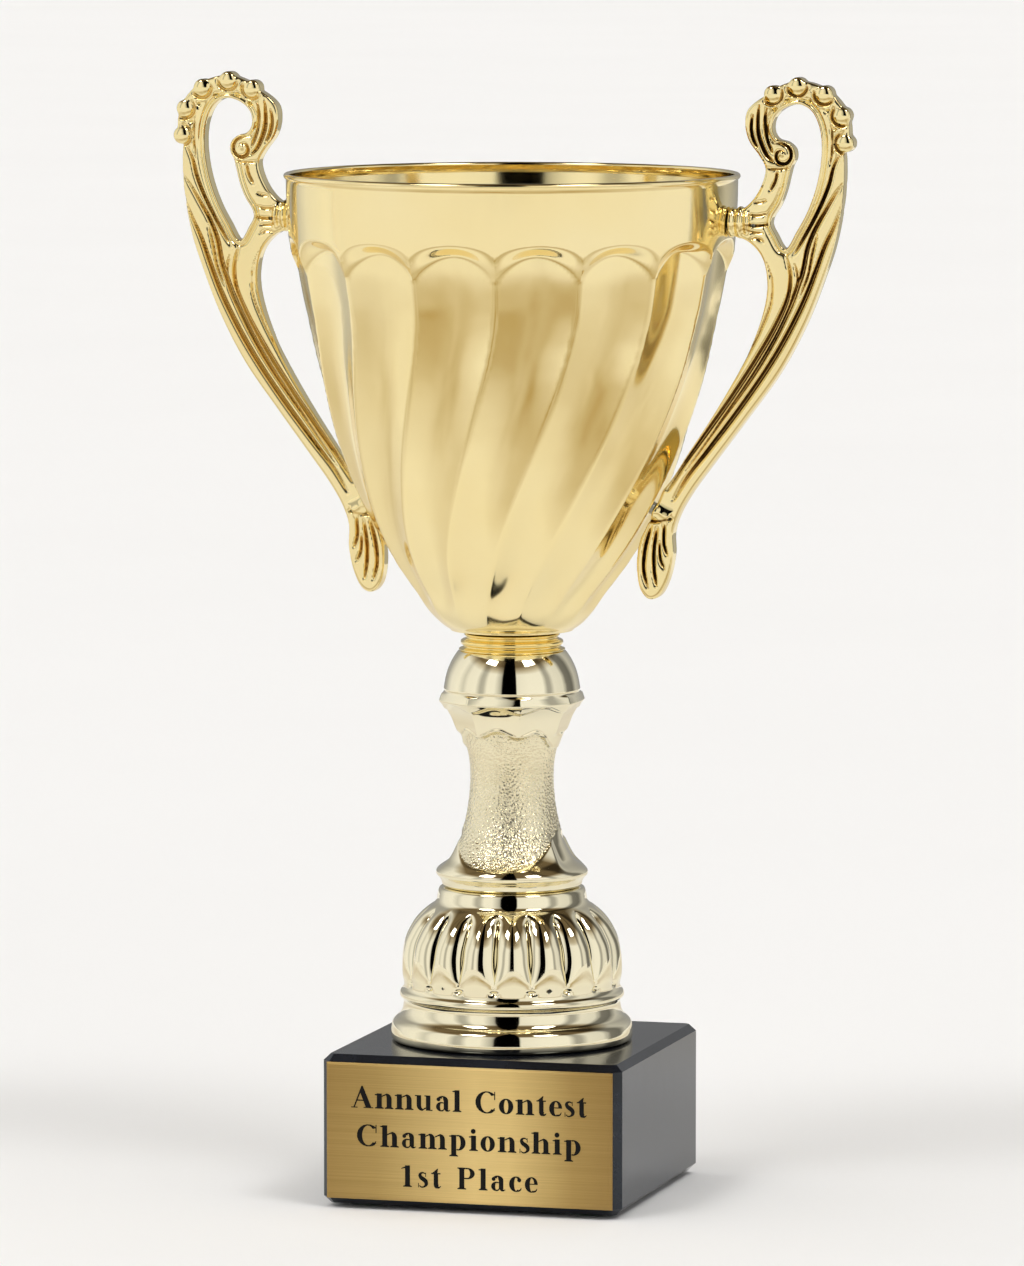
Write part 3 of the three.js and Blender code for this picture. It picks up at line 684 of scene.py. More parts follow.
def surface_of(field, origin, step):
    """Quads over the zero surface of a field of values on a grid (naive surface nets)."""
    inside = field < 0
    nx, ny, nz = field.shape
    count = np.zeros((nx - 1, ny - 1, nz - 1), np.int8)
    for i in (0, 1):
        for j in (0, 1):
            for k in (0, 1):
                count += inside[i:nx - 1 + i, j:ny - 1 + j, k:nz - 1 + k]
    cells = np.stack(np.nonzero((count > 0) & (count < 8)), 1)
    number = np.full(count.shape, -1, np.int64)
    number[tuple(cells.T)] = np.arange(len(cells))
    total = np.zeros((len(cells), 3))
    hits = np.zeros(len(cells))
    for axis in range(3):
        for a in (0, 1):
            for b in (0, 1):
                start = np.insert([a, b], axis, 0)
                end = np.insert([a, b], axis, 1)
                fa = field[tuple((cells + start).T)]
                fb = field[tuple((cells + end).T)]
                cross = (fa < 0) != (fb < 0)
                t = np.where(cross, fa / np.where(cross, fa - fb, 1), 0)
                total += cross[:, None] * (start + t[:, None] * (end - start))
                hits += cross
    verts = (total / hits[:, None] + cells) * step + origin
    faces = []
    for axis in range(3):
        others = ((1, 2), (2, 0), (0, 1))[axis]
        lower = [slice(1, -1)] * 3
        upper = [slice(1, -1)] * 3
        lower[axis], upper[axis] = slice(None, -1), slice(1, None)
        here, there = inside[tuple(lower)], inside[tuple(upper)]
        edges = np.stack(np.nonzero(here != there), 1)
        outward = here[tuple(edges.T)]
        base = edges.copy()
        for other in others:
            base[:, other] += 1
        quad = []
        for da, db in ((-1, -1), (0, -1), (0, 0), (-1, 0)):
            cell = base.copy()
            cell[:, others[0]] += da
            cell[:, others[1]] += db
            quad.append(number[tuple(cell.T)])
        quad = np.stack(quad, 1)
        quad[~outward] = quad[~outward][:, ::-1]
        faces.append(quad)
    return verts, np.vstack(faces)


def relaxed(verts, faces, rounds, share):
    """Points pulled part of the way to the middle of their neighbours, some times over."""
    edges = np.vstack([faces[:, [n, (n + 1) % 4]] for n in range(4)])
    weight = np.bincount(edges[:, 0], minlength=len(verts))[:, None]
    for _ in range(rounds):
        pull = np.stack([np.bincount(edges[:, 0], verts[edges[:, 1], n], len(verts))
                         for n in range(3)], 1)
        verts = verts + share * (pull / weight - verts)
    return verts


def grooves_over(x, z):
    """Each groove's depth, the points near it, their distance in half widths, their taper."""
    for depth, width, points in GROOVES:
        curve = even(points, 0.6)
        low, high = curve.min(0) - 2, curve.max(0) + 2
        near = (x > low[0]) & (x < high[0]) & (z > low[1]) & (z < high[1])
        away, along, _ = line_distance(x[near], z[near], curve.tolist())
        taper = 1 - np.abs(2 * along - 1) ** 4
        yield depth, near, away / (width * (0.35 + 0.65 * taper)), taper


def beads_over(x, z):
    """Each bead's distance from every point, and 1 where the bead faces the focus."""
    for bx, bz in BEADS:
        away = np.hypot(x - bx, z - bz)
        towards = (BEAD_FOCUS[0] - bx) * (x - bx) + (BEAD_FOCUS[1] - bz) * (z - bz)
        yield away, smoothstep(-0.2, 0.5, towards / (16 * away + 0.1))


def handle_relief(x, z, from_opening):
    """Half thickness of the casting over its face, with everything chased into it."""
    half = np.full(x.shape, HANDLE_HALF)
    from_curl = np.hypot(x - CURL[0], z - CURL[1])
    ring = ripple(from_opening - 1.25, 0.36) * smoothstep(3.0, 4.0, from_curl)
    half -= 0.75 * ring * smoothstep(240, 252, z)
    for depth, near, away, taper in grooves_over(x, z):
        half[near] -= 1.3 * depth * (0.2 + 0.8 * taper) * (1 - smoothstep(0.0, 1.0, away))
    for away, facing in beads_over(x, z):
        crown = HANDLE_HALF + 0.6 - 0.6 * (away / BEAD_RADIUS) ** 2.6
        half = np.where(away < BEAD_RADIUS, crown, half)
        half -= 0.8 * facing * ripple(away - 2.75, 0.34)
        half += 0.25 * facing * ripple(away - 3.3, 0.35)
    for px, pz in PITS:
        half -= ripple(np.hypot(x - px, z - pz), 0.5)
    return np.maximum(half, 0.8)


def painted_groove_shade(x, z):
    """Painted shade, 0 to 1, on the casting's face: deepest in chased lines and beside the beads."""
    groove_shade = np.zeros(len(x))
    for depth, near, away, taper in grooves_over(x, z):
        line = min(1.0, depth / 1.1) * taper * (1 - smoothstep(0.25, 0.8, away))
        groove_shade[near] = np.maximum(groove_shade[near], line)
    for away, facing in beads_over(x, z):
        groove_shade = np.maximum(groove_shade, 0.8 * facing * ripple(away - 2.75, 0.3))
    return groove_shade


def build_handles():
    """Both castings, from one signed-distance field whose inside is below 0."""
    xs, ys, zs = (np.arange(low, high, CELL) for low, high in HANDLE_ROOM)
    x, z = np.meshgrid(xs, zs, indexing="ij")
    away, _, inside = line_distance(x, z, closed_curve(HANDLE_OUTLINE, 1.0), True)
    hole_away, _, hole_inside = line_distance(x, z, closed_curve(HANDLE_OPENING, 0.7), True)
    region = np.where(inside, -away, away)
    hole = np.where(hole_inside, -hole_away, hole_away)
    region = np.maximum(region, -hole)
    for bx, bz in BEADS:
        region = smooth_min(region, np.hypot(x - bx, z - bz) - BEAD_RADIUS, 0.15)
    string, _, _ = line_distance(x, z, even(BEADS, 0.8).tolist())
    region = smooth_min(region, string - 1.35, 0.3)
    half = handle_relief(x, z, hole)
    region, half, x, z = (v[:, None, :] for v in (region, half, x, z))
    y = ys[None, :, None]
    side = region + HANDLE_ROUND
    face = np.abs(y) - half + HANDLE_ROUND
    field = np.minimum(np.maximum(side, face), 0) - HANDLE_ROUND
    field = field + np.hypot(np.maximum(side, 0), np.maximum(face, 0))
    from_curl = (x - CURL[0]) ** 2 + (z - CURL[1]) ** 2
    curl = (np.sqrt(from_curl / 1.5 ** 2 + y ** 2 / 2.9 ** 2) - 1) * 1.5
    field = smooth_min(field, curl, 0.2)
    from_knob = (x - KNOB[0]) ** 2 + (z - KNOB[1]) ** 2 + (np.abs(y) - KNOB_OUT) ** 2
    field = smooth_min(field, np.sqrt(from_knob) - KNOB_RADIUS, 0.2)
    # the ringed boss at the upper seat and the lug behind the leaf at the lower one
    out = x - UPPER_SEAT[0]
    reach = np.hypot(y, z - UPPER_SEAT[1])
    boss = reach - np.interp(out, *np.array(BOSS).T)
    boss = np.maximum(boss, out - BOSS_END)
    field = smooth_min(field, np.where(out > -1.5, boss, 9.0), 0.35)
    axis_x, axis_z = math.cos(LOWER_TILT), -math.sin(LOWER_TILT)
    along = (x - LOWER_SEAT[0]) * axis_x + (z - LOWER_SEAT[1]) * axis_z
    across = np.hypot((x - LOWER_SEAT[0]) * axis_z - (z - LOWER_SEAT[1]) * axis_x, y)
    lug = np.maximum(across - LUG_RADIUS, np.abs(along - LUG_MIDDLE) - LUG_HALF)
    field = smooth_min(field, lug, 0.5)
    # room for the cup, and the blind screw holes
    body = spline(CUP_BODY[:-1] + CUP_BAND[1:], 600)
    wall = np.interp(z, body[:, 1], body[:, 0]) + 0.3
    field = np.maximum(field, 0.93 * (wall - np.hypot(x, y)))
    blocked = (along > LOWER_REACH + HOLE_SPARE) | (z > MIDWAY)
    field = np.maximum(field, HOLE_RADIUS - across - OFF * blocked)
    blocked = (out > UPPER_REACH + HOLE_SPARE) | (z < MIDWAY)
    field = np.maximum(field, HOLE_RADIUS - reach - OFF * blocked)
    verts, faces = surface_of(field, np.array([xs[0], ys[0], zs[0]]), CELL)
    verts = relaxed(verts, faces, 2, 0.5)
    faces = faces.tolist()
    right = make_object("right_handle", verts, faces, [GOLD_WITH_PAINTED_GROOVE_SHADE])
    left = make_object("left_handle", verts * (-1, -1, 1), faces, [GOLD_WITH_PAINTED_GROOVE_SHADE])
    # painted groove shade on the faces: full strength on the right handle, half on the left, for their
    # different light
    groove_shade = painted_groove_shade(verts[:, 0], verts[:, 2]) * smoothstep(0.6, 1.2, np.abs(verts[:, 1]))
    for handle, share in ((right, 1.0), (left, 0.5)):
        painted_shade_layer = handle.data.attributes.new("painted_shade_layer", "FLOAT", "POINT")
        painted_shade_layer.data.foreach_set("value", (groove_shade * share).astype(np.float32))
    stands_for(right, "handle_right")
    stands_for(left, "handle_left")


# ---------------------------------------------------------------- fasteners and pads

ROD_RADIUS = 2.9
ROD_BOTTOM = 12.0
ROD_TOP = 160.0
AXIS = 0.02                   # radius of the small ring that closes a solid on its axis
THREAD_PITCH = 1.0
THREAD_DEPTH = 0.32


def build_rod():
    cols = 28
    angle = round_axis(cols)
    level = np.arange(ROD_BOTTOM, ROD_TOP + 0.01, 0.125)[:, None]
    phase = level / THREAD_PITCH - angle / (2 * math.pi)
    tooth = np.abs(2 * (phase - np.floor(phase)) - 1)
    radius = ROD_RADIUS - THREAD_DEPTH * smoothstep(0.1, 0.9, tooth)
    lead = np.minimum(level - ROD_BOTTOM, ROD_TOP - level)
    radius = np.minimum(radius, ROD_RADIUS - 0.8 + lead)
    height = np.repeat(level, cols, 1)
    radius = np.pad(radius, ((1, 1), (0, 0)), constant_values=AXIS)
    height = np.vstack([height[:1], height, height[-1:]])
    rod = ring_mesh("threaded_rod", angle, radius, height, [STEEL], 40)
    stands_for(rod, "tie_rod")


def build_nut(name, node, bottom):
    height, hole, flat = 5.0, ROD_HOLE, 5.0
    corner = flat / math.cos(math.pi / 6)
    edge = [
        (hole, bottom + 0.5), (hole + 0.5, bottom), (flat - 0.15, bottom), (corner, bottom + 0.6),
        (corner, bottom + height - 0.6), (flat - 0.15, bottom + height),
        (hole + 0.5, bottom + height), (hole, bottom + height - 0.5),
    ]
    rows = []
    for (r0, z0), (r1, z1) in zip(edge, edge[1:] + edge[:1]):
        rows += [(r0 + (r1 - r0) * t / 6, z0 + (z1 - z0) * t / 6) for t in range(6)]

    def hexagon(angle, radius, height):
        pitch = math.pi / 3
        off = angle - pitch / 2 - pitch * np.round((angle - pitch / 2) / pitch)
        return np.minimum(radius, flat / np.cos(off))

    nut = lathe(name, rows, 144, [STEEL], 30, hexagon)
    stands_for(nut, node)


def build_washer(name, node, radius, bottom, top):
    hole, soft, bevel = ROD_HOLE, 0.25, 0.07
    rows = [
        (hole, bottom + soft), (hole + soft, bottom), (radius - soft, bottom),
        (radius - bevel, bottom + bevel), (radius, bottom + soft), (radius, top - soft),
        (radius - bevel, top - bevel), (radius - soft, top), (hole + soft, top),
        (hole, top - soft),
    ]
    washer = lathe(name, rows, 96, [STEEL], 35)
    stands_for(washer, node)


def build_pad(name, node, x, y):
    rows = [(AXIS, 1.0), (AXIS, 0.0), (3.4, 0.0), (6.4, 0.0), (6.75, 0.08), (6.95, 0.35),
            (6.95, 0.7), (6.7, 1.0), (3.4, 1.0)]

    def fuzzy(angle, radius, height):
        shaped = radius.copy()
        for row in range(3, 8):
            for col in range(radius.shape[1]):
                place = Vector((radius[row, col] * math.cos(angle[0, col]) + x,
                                radius[row, col] * math.sin(angle[0, col]) + y, height[row, col]))
                shaped[row, col] += 0.06 * noise.noise(place * 3.0) - 0.02
        return shaped

    pad = lathe(name, rows, 72, [FELT], 60, fuzzy)
    pad.data.transform(Matrix.Translation((x * MM, y * MM, 0.0)))
    stands_for(pad, node)


def build_screw(name, node, seat, tilt, setback, reach, side):
    """A pan-head screw with a cross recess, its head inside the cup."""
    head_radius, head_height, edge, head_rows = 3.4, 2.2, 0.7, 14
    shank, pitch, tip, washer = 1.8, 0.7, 0.6, 0.8
    top = -setback - washer
    rows = []
    for t in np.linspace(0, math.pi / 2, head_rows):
        rows.append((AXIS + (head_radius - AXIS) * math.sin(t) ** 0.8,
                     top - edge - (head_height - edge) * math.cos(t) ** 0.7))
    rows += [(head_radius, top - 0.3), (head_radius - 0.1, top), (shank, top)]
    level = top
    while level < reach - tip:
        rows += [(shank, level + 0.1), (shank - 0.3, level + 0.4), (shank, level + pitch)]
        level += pitch
    rows += [(tip, reach - 0.1), (AXIS, reach)]
    angle, radius, level = spread(rows, 64)
    u, v = radius * np.cos(angle), radius * np.sin(angle)
    arm = np.minimum(np.abs(u), np.abs(v))
    recess = (1 - smoothstep(0.35, 0.6, arm)) * (1 - smoothstep(1.6, 2.1, radius))
    level[:head_rows] += 1.1 * recess[:head_rows]
    c, s = math.cos(tilt), math.sin(tilt)
    placed = np.stack([side * (seat[0] + level * c - u * s), side * v,
                       seat[1] - level * s - u * c], -1).reshape(-1, 3)
    screw = make_object(name, placed, wrapped_faces(*radius.shape), [STEEL], 40)
    stands_for(screw, node)


def build_screws():
    for name, side in (("right", 1), ("left", -1)):
        build_screw(f"upper_screw_head_{name}", f"upper_screw_{name}",
                    UPPER_SEAT, 0.0, 1.7, UPPER_REACH, side)
        build_screw(f"lower_screw_head_{name}", f"lower_screw_{name}",
                    LOWER_SEAT, LOWER_TILT, 3.1, LOWER_REACH, side)


# ---------------------------------------------------------------- lettering on the plate

CAP_HEIGHT = 5.8              # millimetres; the letters below are drawn with capitals 1 tall
PLATE_FACE = -42.5
LETTER_RISE = 0.05
THICK = 0.235                 # of an upright
THIN = 0.06                   # of a hairline
SERIF = 0.05
WING = 0.09                   # how far a serif reaches past its upright
# (text, height of its middle, width) of each line
LINES = [("Annual Contest", 30.2, 65.0), ("Championship", 20.0, 62.0), ("1st Place", 9.6, 38.0)]


def arc(cx, cy, rx, ry, start, stop, count=16):
    turns = np.radians(np.linspace(start, stop, count))
    return [(cx + rx * math.cos(t), cy + ry * math.sin(t)) for t in turns]


def bow(cx, cy, rx, ry, start, stop, thick=THICK, thin=THIN):
    """Part of an oval stroke, thick at its sides and thin at its top and bottom."""
    return arc(cx, cy, rx, ry, start, stop) + arc(cx, cy, rx - thick, ry - thin, stop, start)


def bar(x0, y0, x1, y1):
    return [(x0, y0), (x1, y0), (x1, y1), (x0, y1)]


def dot(cx, cy, radius):
    return arc(cx, cy, radius, radius, 0, 345, 20)


def brush(points):
    """A stroke along (x, y, width) points."""
    p = even(points, 0.03)
    run = np.gradient(p[:, :2], axis=0)
    run /= np.linalg.norm(run, axis=1)[:, None]
    side = np.stack([-run[:, 1], run[:, 0]], 1) * p[:, 2:3] / 2
    return (p[:, :2] + side).tolist() + (p[:, :2] - side)[::-1].tolist()


def upright(x, low, high, head="flag"):
    """Polygons of a thick upright with its foot serif and its head."""
    def serif(y, way):
        left, right = x - WING, x + THICK + WING
        thin, deep = y + way * SERIF * 0.8, y + way * SERIF * 1.7
        return [(left, y), (right, y), (right, thin), (x + THICK, deep), (x, deep), (left, thin)]

    shapes = [bar(x, low, x + THICK, high), serif(low, 1)]
    if head == "flag":
        shapes.append([(x - 0.1, high - 0.085), (x + 0.02, high - 0.1), (x + THICK, high),
                       (x - 0.1, high - 0.04)])
    if head == "serif":
        shapes.append(serif(high, -1))
    return shapes


def shoulder(x, width):
    """The arch and right leg of an n, from an upright whose right edge is at x."""
    right = x + width
    outer = arc(right - 0.24, 0.45, 0.24, 0.26, 0, 90) + [(x, 0.585)]
    inner = [(x, 0.53)] + arc(right - 0.27, 0.45, 0.27 - THICK, 0.17, 90, 0)
    return [outer + inner, *upright(right - THICK, 0.0, 0.46, None)]


def glyphs():
    """Advance width and polygons of each letter used, in a bold book face."""
    hook = brush([(0.30, 0.16, 0.19), (0.32, 0.07, 0.15), (0.40, 0.03, 0.09), (0.50, 0.10, 0.03)])
    ess = brush([
        (0.40, 0.63, 0.04), (0.33, 0.675, 0.06), (0.22, 0.67, 0.09), (0.15, 0.58, 0.15),
        (0.20, 0.46, 0.18), (0.33, 0.37, 0.20), (0.43, 0.27, 0.19), (0.44, 0.14, 0.15),
        (0.34, 0.04, 0.08), (0.22, 0.02, 0.06), (0.12, 0.09, 0.04),
    ])
    return {
        "A": (1.10, [[(0.52, 1.02), (0.58, 1.02), (1.0, 0.02), (0.73, 0.02), (0.44, 0.76)],
                     [(0.52, 1.02), (0.56, 0.93), (0.20, 0.02), (0.13, 0.02)],
                     bar(0.28, 0.32, 0.74, 0.38), bar(0.03, 0.0, 0.33, 0.045),
                     bar(0.62, 0.0, 1.08, 0.045)]),
        "C": (1.07, [bow(0.58, 0.5, 0.54, 0.515, 42, 318, 0.25), bar(0.93, 0.62, 0.975, 1.0),
                     brush([(0.95, 0.24, 0.04), (0.86, 0.10, 0.08), (0.72, 0.03, 0.07)])]),
        "P": (0.92, [*upright(0.13, 0.0, 1.0, "serif"),
                     bow(0.52, 0.74, 0.34, 0.26, -90, 90, 0.22),
                     bar(0.3, 0.94, 0.54, 1.0), bar(0.3, 0.48, 0.54, 0.54)]),
        "1": (0.72, [*upright(0.26, 0.0, 0.99, None),
                     [(0.08, 0.82), (0.28, 0.86), (0.47, 1.0), (0.42, 1.0), (0.08, 0.86)]]),
        "a": (0.76, [bow(0.36, 0.5, 0.27, 0.21, 0, 150), bar(0.42, 0.1, 0.63, 0.52),
                     dot(0.17, 0.545, 0.09),
                     bow(0.30, 0.21, 0.245, 0.22, 60, 300, 0.19), bar(0.38, 0.36, 0.5, 0.41),
                     brush([(0.28, 0.02, 0.06), (0.38, 0.04, 0.06), (0.45, 0.12, 0.05)]),
                     brush([(0.53, 0.14, 0.19), (0.56, 0.06, 0.14), (0.64, 0.03, 0.07),
                            (0.72, 0.07, 0.03)])]),
        "c": (0.64, [bow(0.37, 0.35, 0.33, 0.36, 55, 305), dot(0.52, 0.54, 0.095),
                     brush([(0.62, 0.18, 0.03), (0.56, 0.08, 0.07), (0.45, 0.03, 0.08)])]),
        "e": (0.66, [bow(0.36, 0.35, 0.32, 0.36, 90, 300),
                     bow(0.36, 0.38, 0.29, 0.33, 0, 90, 0.17),
                     bar(0.2, 0.36, 0.65, 0.41),
                     brush([(0.62, 0.18, 0.03), (0.55, 0.07, 0.07), (0.44, 0.03, 0.08)])]),
        "h": (0.90, [*upright(0.10, 0.0, 1.0), *shoulder(0.31, 0.49)]),
        "i": (0.46, [*upright(0.12, 0.0, 0.70), dot(0.225, 0.90, 0.115)]),
        "l": (0.46, upright(0.12, 0.0, 1.0)),
        "m": (1.36, [*upright(0.10, 0.0, 0.70), *shoulder(0.31, 0.47), *shoulder(0.78, 0.48)]),
        "n": (0.90, [*upright(0.10, 0.0, 0.70), *shoulder(0.31, 0.49)]),
        "o": (0.76, [bow(0.37, 0.35, 0.34, 0.36, 90, 270), bow(0.37, 0.35, 0.34, 0.36, -90, 90)]),
        "p": (0.86, [*upright(0.12, -0.29, 0.70), bow(0.45, 0.345, 0.35, 0.36, -110, 110)]),
        "s": (0.54, [ess, bar(0.40, 0.50, 0.435, 0.69), bar(0.06, 0.0, 0.095, 0.2)]),
        "t": (0.54, [bar(0.16, 0.12, 0.37, 0.68), hook, bar(0.04, 0.64, 0.48, 0.70),
                     [(0.07, 0.68), (0.33, 0.68), (0.37, 0.90), (0.33, 0.90)],
                     brush([(0.265, 0.16, 0.21), (0.28, 0.07, 0.17), (0.36, 0.03, 0.09)])]),
        "u": (0.90, [bar(0.09, 0.2, 0.30, 0.70), bar(0.53, 0.0, 0.74, 0.70),
                     bar(0.0, 0.65, 0.2, 0.70), bar(0.46, 0.65, 0.6, 0.70),
                     bar(0.6, 0.0, 0.84, 0.05),
                     arc(0.36, 0.24, 0.27, 0.26, 180, 270) + [(0.54, 0.10), (0.54, 0.16)]
                     + arc(0.39, 0.24, 0.09, 0.16, 270, 180)]),
        " ": (0.50, []),
    }


def encircles(shape, x, y):
    """True where a closed polygon, which may cross itself, winds round the point."""
    turns = 0
    for (ax, ay), (bx, by) in zip(shape, [*shape[1:], shape[0]]):
        if (ay <= y) != (by <= y):
            left = (bx - ax) * (y - ay) - (x - ax) * (by - ay)
            turns += 1 if by > ay and left > 0 else -1 if by < ay and left < 0 else 0
    return turns != 0


def flat_union(shapes):
    """Triangles that cover a set of overlapping polygons once."""
    verts, edges = [], []
    for shape in shapes:
        first, count = len(verts), len(shape)
        edges += [(first + i, first + (i + 1) % count) for i in range(count)]
        verts += [Vector(point) for point in shape]
    out = geometry.delaunay_2d_cdt(verts, edges, [], 0, 1e-5)
    covered = []
    for face in out[2]:
        x, y = (sum(out[0][i][axis] for i in face) / len(face) for axis in (0, 1))
        if any(encircles(shape, x, y) for shape in shapes):
            covered.append(list(face))
    return [tuple(v) for v in out[0]], covered


def build_lettering():
    """Three lines of thin raised letters, closed solids whose backs lie in the plate."""
    alphabet = {key: (width, flat_union(shapes) if shapes else ([], []))
                for key, (width, shapes) in glyphs().items()}
    points, faces = [], []
    for text, middle, width in LINES:
        natural = sum(alphabet[letter][0] for letter in text) * CAP_HEIGHT
        tracking = (width - natural) / (len(text) - 1)
        x = -width / 2
        for letter in text:
            advance, (flat, tris) = alphabet[letter]
            first = len(points)
            for y in (PLATE_FACE + 0.01, PLATE_FACE - LETTER_RISE):
                points += [(x + u * CAP_HEIGHT, y, middle + (v - 0.5) * CAP_HEIGHT)
                           for u, v in flat]
            count = len(flat)
            edges = {}
            for a, b, c in tris:
                faces.append([first + count + a, first + count + b, first + count + c])
                faces.append([first + c, first + b, first + a])
                edges.update(dict.fromkeys(((a, b), (b, c), (c, a))))
            for a, b in edges:
                if (b, a) not in edges:
                    faces.append([first + a, first + b, first + count + b, first + count + a])
            x += advance * CAP_HEIGHT + tracking
    letters = make_object("plate_lettering", points, faces, [FILL], 30)
    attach(letters, "root")


build_cup()
build_collar()
build_stem()
build_dome()
build_handles()
build_rod()
build_nut("nut_in_base", "base_nut", 15.0)
build_nut("nut_in_cup", "cup_nut", 152.9)
build_washer("washer_in_base", "base_washer", 12.0, 21.5, 23.0)
build_washer("lock_washer_in_base", "base_lock_washer", 5.4, 20.0, 21.5)
build_washer("washer_in_cup", "cup_washer", 11.0, 151.4, 152.9)
build_screws()
build_lettering()
for front, y in (("front", -30.0), ("rear", 30.0)):
    for side, x in (("left", -30.0), ("right", 30.0)):
        build_pad(f"felt_{front}_{side}", f"foot_pad_{front}_{side}", x, y)
new_looks = {"stone_base": STONE, "name_plate": BRASS, "plate_tape": TAPE}
for level in ("upper", "lower"):
    for side in ("left", "right"):
        new_looks[f"{level}_screw_washer_{side}"] = STEEL
for node, material in new_looks.items():
    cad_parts[node].data.materials.clear()
    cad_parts[node].data.materials.append(material)


# ---------------------------------------------------------------- camera, floor and light

CAMERA_AZIMUTH = 15.64
CAMERA_ELEVATION = 5.84
CAMERA_DISTANCE = 2.324
LENS = 247.4
LOOK_HEIGHT = 0.1503          # metres above the table that the camera looks at
TENT_STRENGTH = 0.97
TENT_RADIUS = 1250.0
LAMP_AZIMUTHS = (-52.0, 44.0)
LAMP_HALF = 13.0              # degrees to each side
LAMP_HEIGHT, LAMP_HALF_HEIGHT = 0.80, 0.07    # as the Z of a direction
LAMP_STRENGTH = 9.0
SHADE_RADIUS = 950.0
FLOOR_HALF = 30000.0
BLACK = (0.0, 0.0, 0.0, 1.0)


def direction(azimuth, elevation):
    """Unit vector towards a place seen from the object; azimuth 0 is the plate's side."""
    a, e = math.radians(azimuth), math.radians(elevation)
    return Vector((math.sin(a) * math.cos(e), -math.cos(a) * math.cos(e), math.sin(e)))


def put_in(name, data, location):
    obj = bpy.data.objects.new(name, data)
    bpy.context.collection.objects.link(obj)
    obj.location = location
    return obj


def mirror_only(obj):
    """Leaves an object to be seen in reflections and nowhere else."""
    obj.visible_camera = False
    obj.visible_diffuse = False
    obj.visible_shadow = False


def build_camera():
    data = bpy.data.cameras.new("camera")
    data.lens = LENS
    data.sensor_width = 36.0
    data.clip_end = 200.0
    back = direction(CAMERA_AZIMUTH, CAMERA_ELEVATION)
    camera = put_in("camera", data, Vector((0.0, 0.0, LOOK_HEIGHT)) + back * CAMERA_DISTANCE)
    camera.rotation_mode = "QUATERNION"
    camera.rotation_quaternion = (-back).to_track_quat("-Z", "Y")
    bpy.context.scene.camera = camera


def build_floor():
    material, tree, shader = new_material("pale floor", {
        "Roughness": 0.85, "Specular IOR Level": 0.0,
    })
    cloud = noise_node(tree, object_coordinates(tree), 3.0, 4.0)
    colour = ramp(tree, cloud, [(0.3, (0.915, 0.915, 0.915)), (0.7, (0.925, 0.925, 0.925))])
    tree.links.new(colour, shader.inputs["Base Color"])
    corners = [(x * FLOOR_HALF, y * FLOOR_HALF, 0)
               for x, y in ((-1, -1), (1, -1), (1, 1), (-1, 1))]
    floor = make_object("floor", corners, [(0, 1, 2, 3)], [material])


def math_node(tree, kind, a, b=None):
    node = tree.nodes.new("ShaderNodeMath")
    node.operation = kind
    for socket, value in zip(node.inputs, (a, b)):
        if isinstance(value, (int, float)):
            socket.default_value = value
        elif value is not None:
            tree.links.new(value, socket)
    return node.outputs["Value"]


def turned(tree, vector):
    """x, y, z outputs of a direction turned so that the camera stands on -Y."""
    turn = tree.nodes.new("ShaderNodeVectorRotate")
    turn.rotation_type = "Z_AXIS"
    turn.inputs["Angle"].default_value = -math.radians(CAMERA_AZIMUTH)
    tree.links.new(vector, turn.inputs["Vector"])
    split = tree.nodes.new("ShaderNodeSeparateXYZ")
    tree.links.new(turn.outputs["Vector"], split.inputs["Vector"])
    return split.outputs


def tent_walls(tree, axes):
    """Degrees round from the camera's side, positive towards +X, and the walls' brightness."""
    azimuth = math_node(tree, "ARCTAN2", axes["X"], math_node(tree, "MULTIPLY", axes["Y"], -1.0))
    degrees = math_node(tree, "MULTIPLY", azimuth, 180.0 / math.pi)
    stops = [
        (-180, 0.30), (-150, 0.42), (-128, 0.90), (-106, 1.0), (-93, 0.72), (-84, 0.96),
        (-66, 1.0), (-57, 0.50), (-51, 0.55), (-44, 1.0), (-31, 1.0), (-22, 0.62), (-18.5, 0.45),
        (-17.5, 0.0), (7.5, 0.0), (8.5, 0.92), (30, 1.0), (56, 1.0), (64, 0.42), (70, 0.45),
        (78, 0.86), (98, 0.80), (108, 0.20), (124, 0.16), (138, 0.55), (160, 0.36), (180, 0.30),
    ]
    share = remap(tree, degrees, 0.0, 1.0, -180.0, 180.0)
    return degrees, ramp(tree, share, [((at + 180.0) / 360.0, [value] * 3) for at, value in stops])


def build_world():
    """A white tent with seams, a dark slot in front, and two lamps in its dim roof."""
    world = bpy.data.worlds.new("studio")
    bpy.context.scene.world = world
    world.use_nodes = True
    tree = world.node_tree
    background = tree.nodes["Background"]
    source = tree.nodes.new("ShaderNodeTexCoord")
    axes = turned(tree, source.outputs["Generated"])
    degrees, tent = tent_walls(tree, axes)

    def band(value, centre, half, soft):
        """1 within `half` of the centre, 0 beyond, with a soft edge."""
        distance = math_node(tree, "ABSOLUTE", math_node(tree, "SUBTRACT", value, centre))
        return remap(tree, distance, 1.0, 0.0, half - soft, half + soft)

    roof = ramp(tree, axes["Z"], [
        (0.0, (1.0, 1.0, 1.0)), (0.56, (0.97, 0.97, 0.97)), (0.66, (0.55, 0.49, 0.40)),
        (0.74, (0.19, 0.14, 0.08)), (1.0, (0.16, 0.12, 0.07)),
    ])
    left, right = (band(degrees, middle, LAMP_HALF, 1.5) for middle in LAMP_AZIMUTHS)
    lamps = math_node(tree, "MULTIPLY", math_node(tree, "ADD", left, right),
                      band(axes["Z"], LAMP_HEIGHT, LAMP_HALF_HEIGHT, 0.012))
    lit = mixed(tree, "ADD", mixed(tree, "MULTIPLY", tent, roof),
                math_node(tree, "MULTIPLY", lamps, LAMP_STRENGTH))
    tree.links.new(lit, background.inputs["Color"])
    background.inputs["Strength"].default_value = TENT_STRENGTH


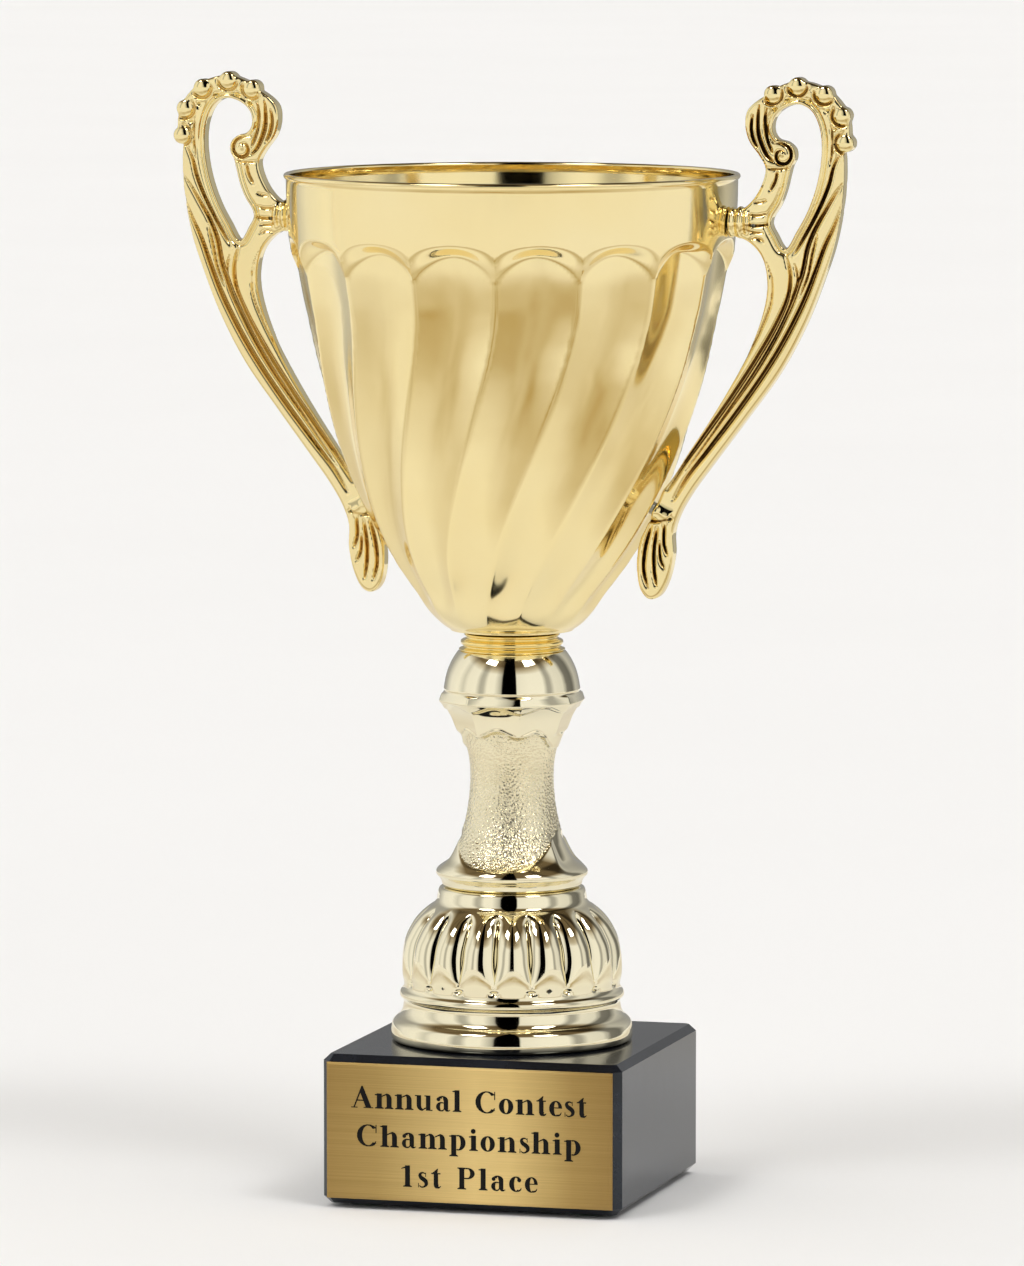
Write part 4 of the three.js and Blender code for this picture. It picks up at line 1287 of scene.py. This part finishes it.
def build_tent_foot():
    """The back half of the tent's walls, down to the floor, seen only in reflections."""
    material, tree, shader = new_material("tent wall", {
        "Base Color": BLACK, "Specular IOR Level": 0.0, "Emission Strength": TENT_STRENGTH,
    })
    source = tree.nodes.new("ShaderNodeTexCoord")
    _, tent = tent_walls(tree, turned(tree, source.outputs["Object"]))
    tree.links.new(tent, shader.inputs["Emission Color"])
    steps = [math.radians(CAMERA_AZIMUTH + turn) for turn in range(102, 259, 2)]
    verts = [(TENT_RADIUS * math.sin(turn), -TENT_RADIUS * math.cos(turn), z)
             for z in (1.0, 300.0) for turn in steps]
    n = len(steps)
    wall = make_object("tent_foot", verts, [(i, i + 1, n + i + 1, n + i) for i in range(n - 1)],
                       [material])
    mirror_only(wall)


def build_overhead():
    """Broad soft light from straight above; the plating mirrors the tent instead of it."""
    data = bpy.data.lights.new("overhead", "SUN")
    data.energy = 1.3
    data.angle = math.radians(80)
    put_in("overhead", data, (0.0, 0.0, 2.5)).visible_glossy = False


def build_shade():
    """A soft brown ring on the table round the object, seen only in the plating."""
    material, tree, shader = new_material("brown shade", {
        "Base Color": BLACK, "Specular IOR Level": 0.0,
        "Emission Color": (0.46, 0.34, 0.13, 1.0), "Emission Strength": 1.0,
    })
    source = tree.nodes.new("ShaderNodeTexCoord")
    axes = turned(tree, source.outputs["Object"])
    reach = add_node(tree, "ShaderNodeVectorMath", operation="LENGTH")
    tree.links.new(source.outputs["Object"], reach.inputs["Vector"])
    ring = ramp(tree, reach.outputs["Value"], [(metres, [value] * 3) for metres, value in (
        (0.0, 0.0), (0.20, 0.0), (0.36, 0.75), (0.52, 1.0), (0.68, 0.62), (0.90, 0.0),
    )])
    ahead = math_node(tree, "MULTIPLY", axes["Y"], -1.0)
    front = math_node(tree, "DIVIDE", ahead, reach.outputs["Value"])
    facing = remap(tree, front, 0.45, 0.95, 0.35, 0.9)
    patches = remap(tree, noise_node(tree, source.outputs["Object"], 4.0, 2.0), 0.6, 1.15)
    strength = math_node(tree, "MULTIPLY", math_node(tree, "MULTIPLY", ring, facing), patches)
    tree.links.new(strength, shader.inputs["Alpha"])
    turns = round_axis(96)[0]
    rim = [(SHADE_RADIUS * math.cos(t), SHADE_RADIUS * math.sin(t), 2.0) for t in turns]
    card = make_object("shade", rim, [tuple(range(len(rim)))], [material])
    mirror_only(card)


build_camera()
build_floor()
build_shade()
build_world()
build_tent_foot()
build_overhead()
bpy.context.scene.view_settings.view_transform = "Standard"
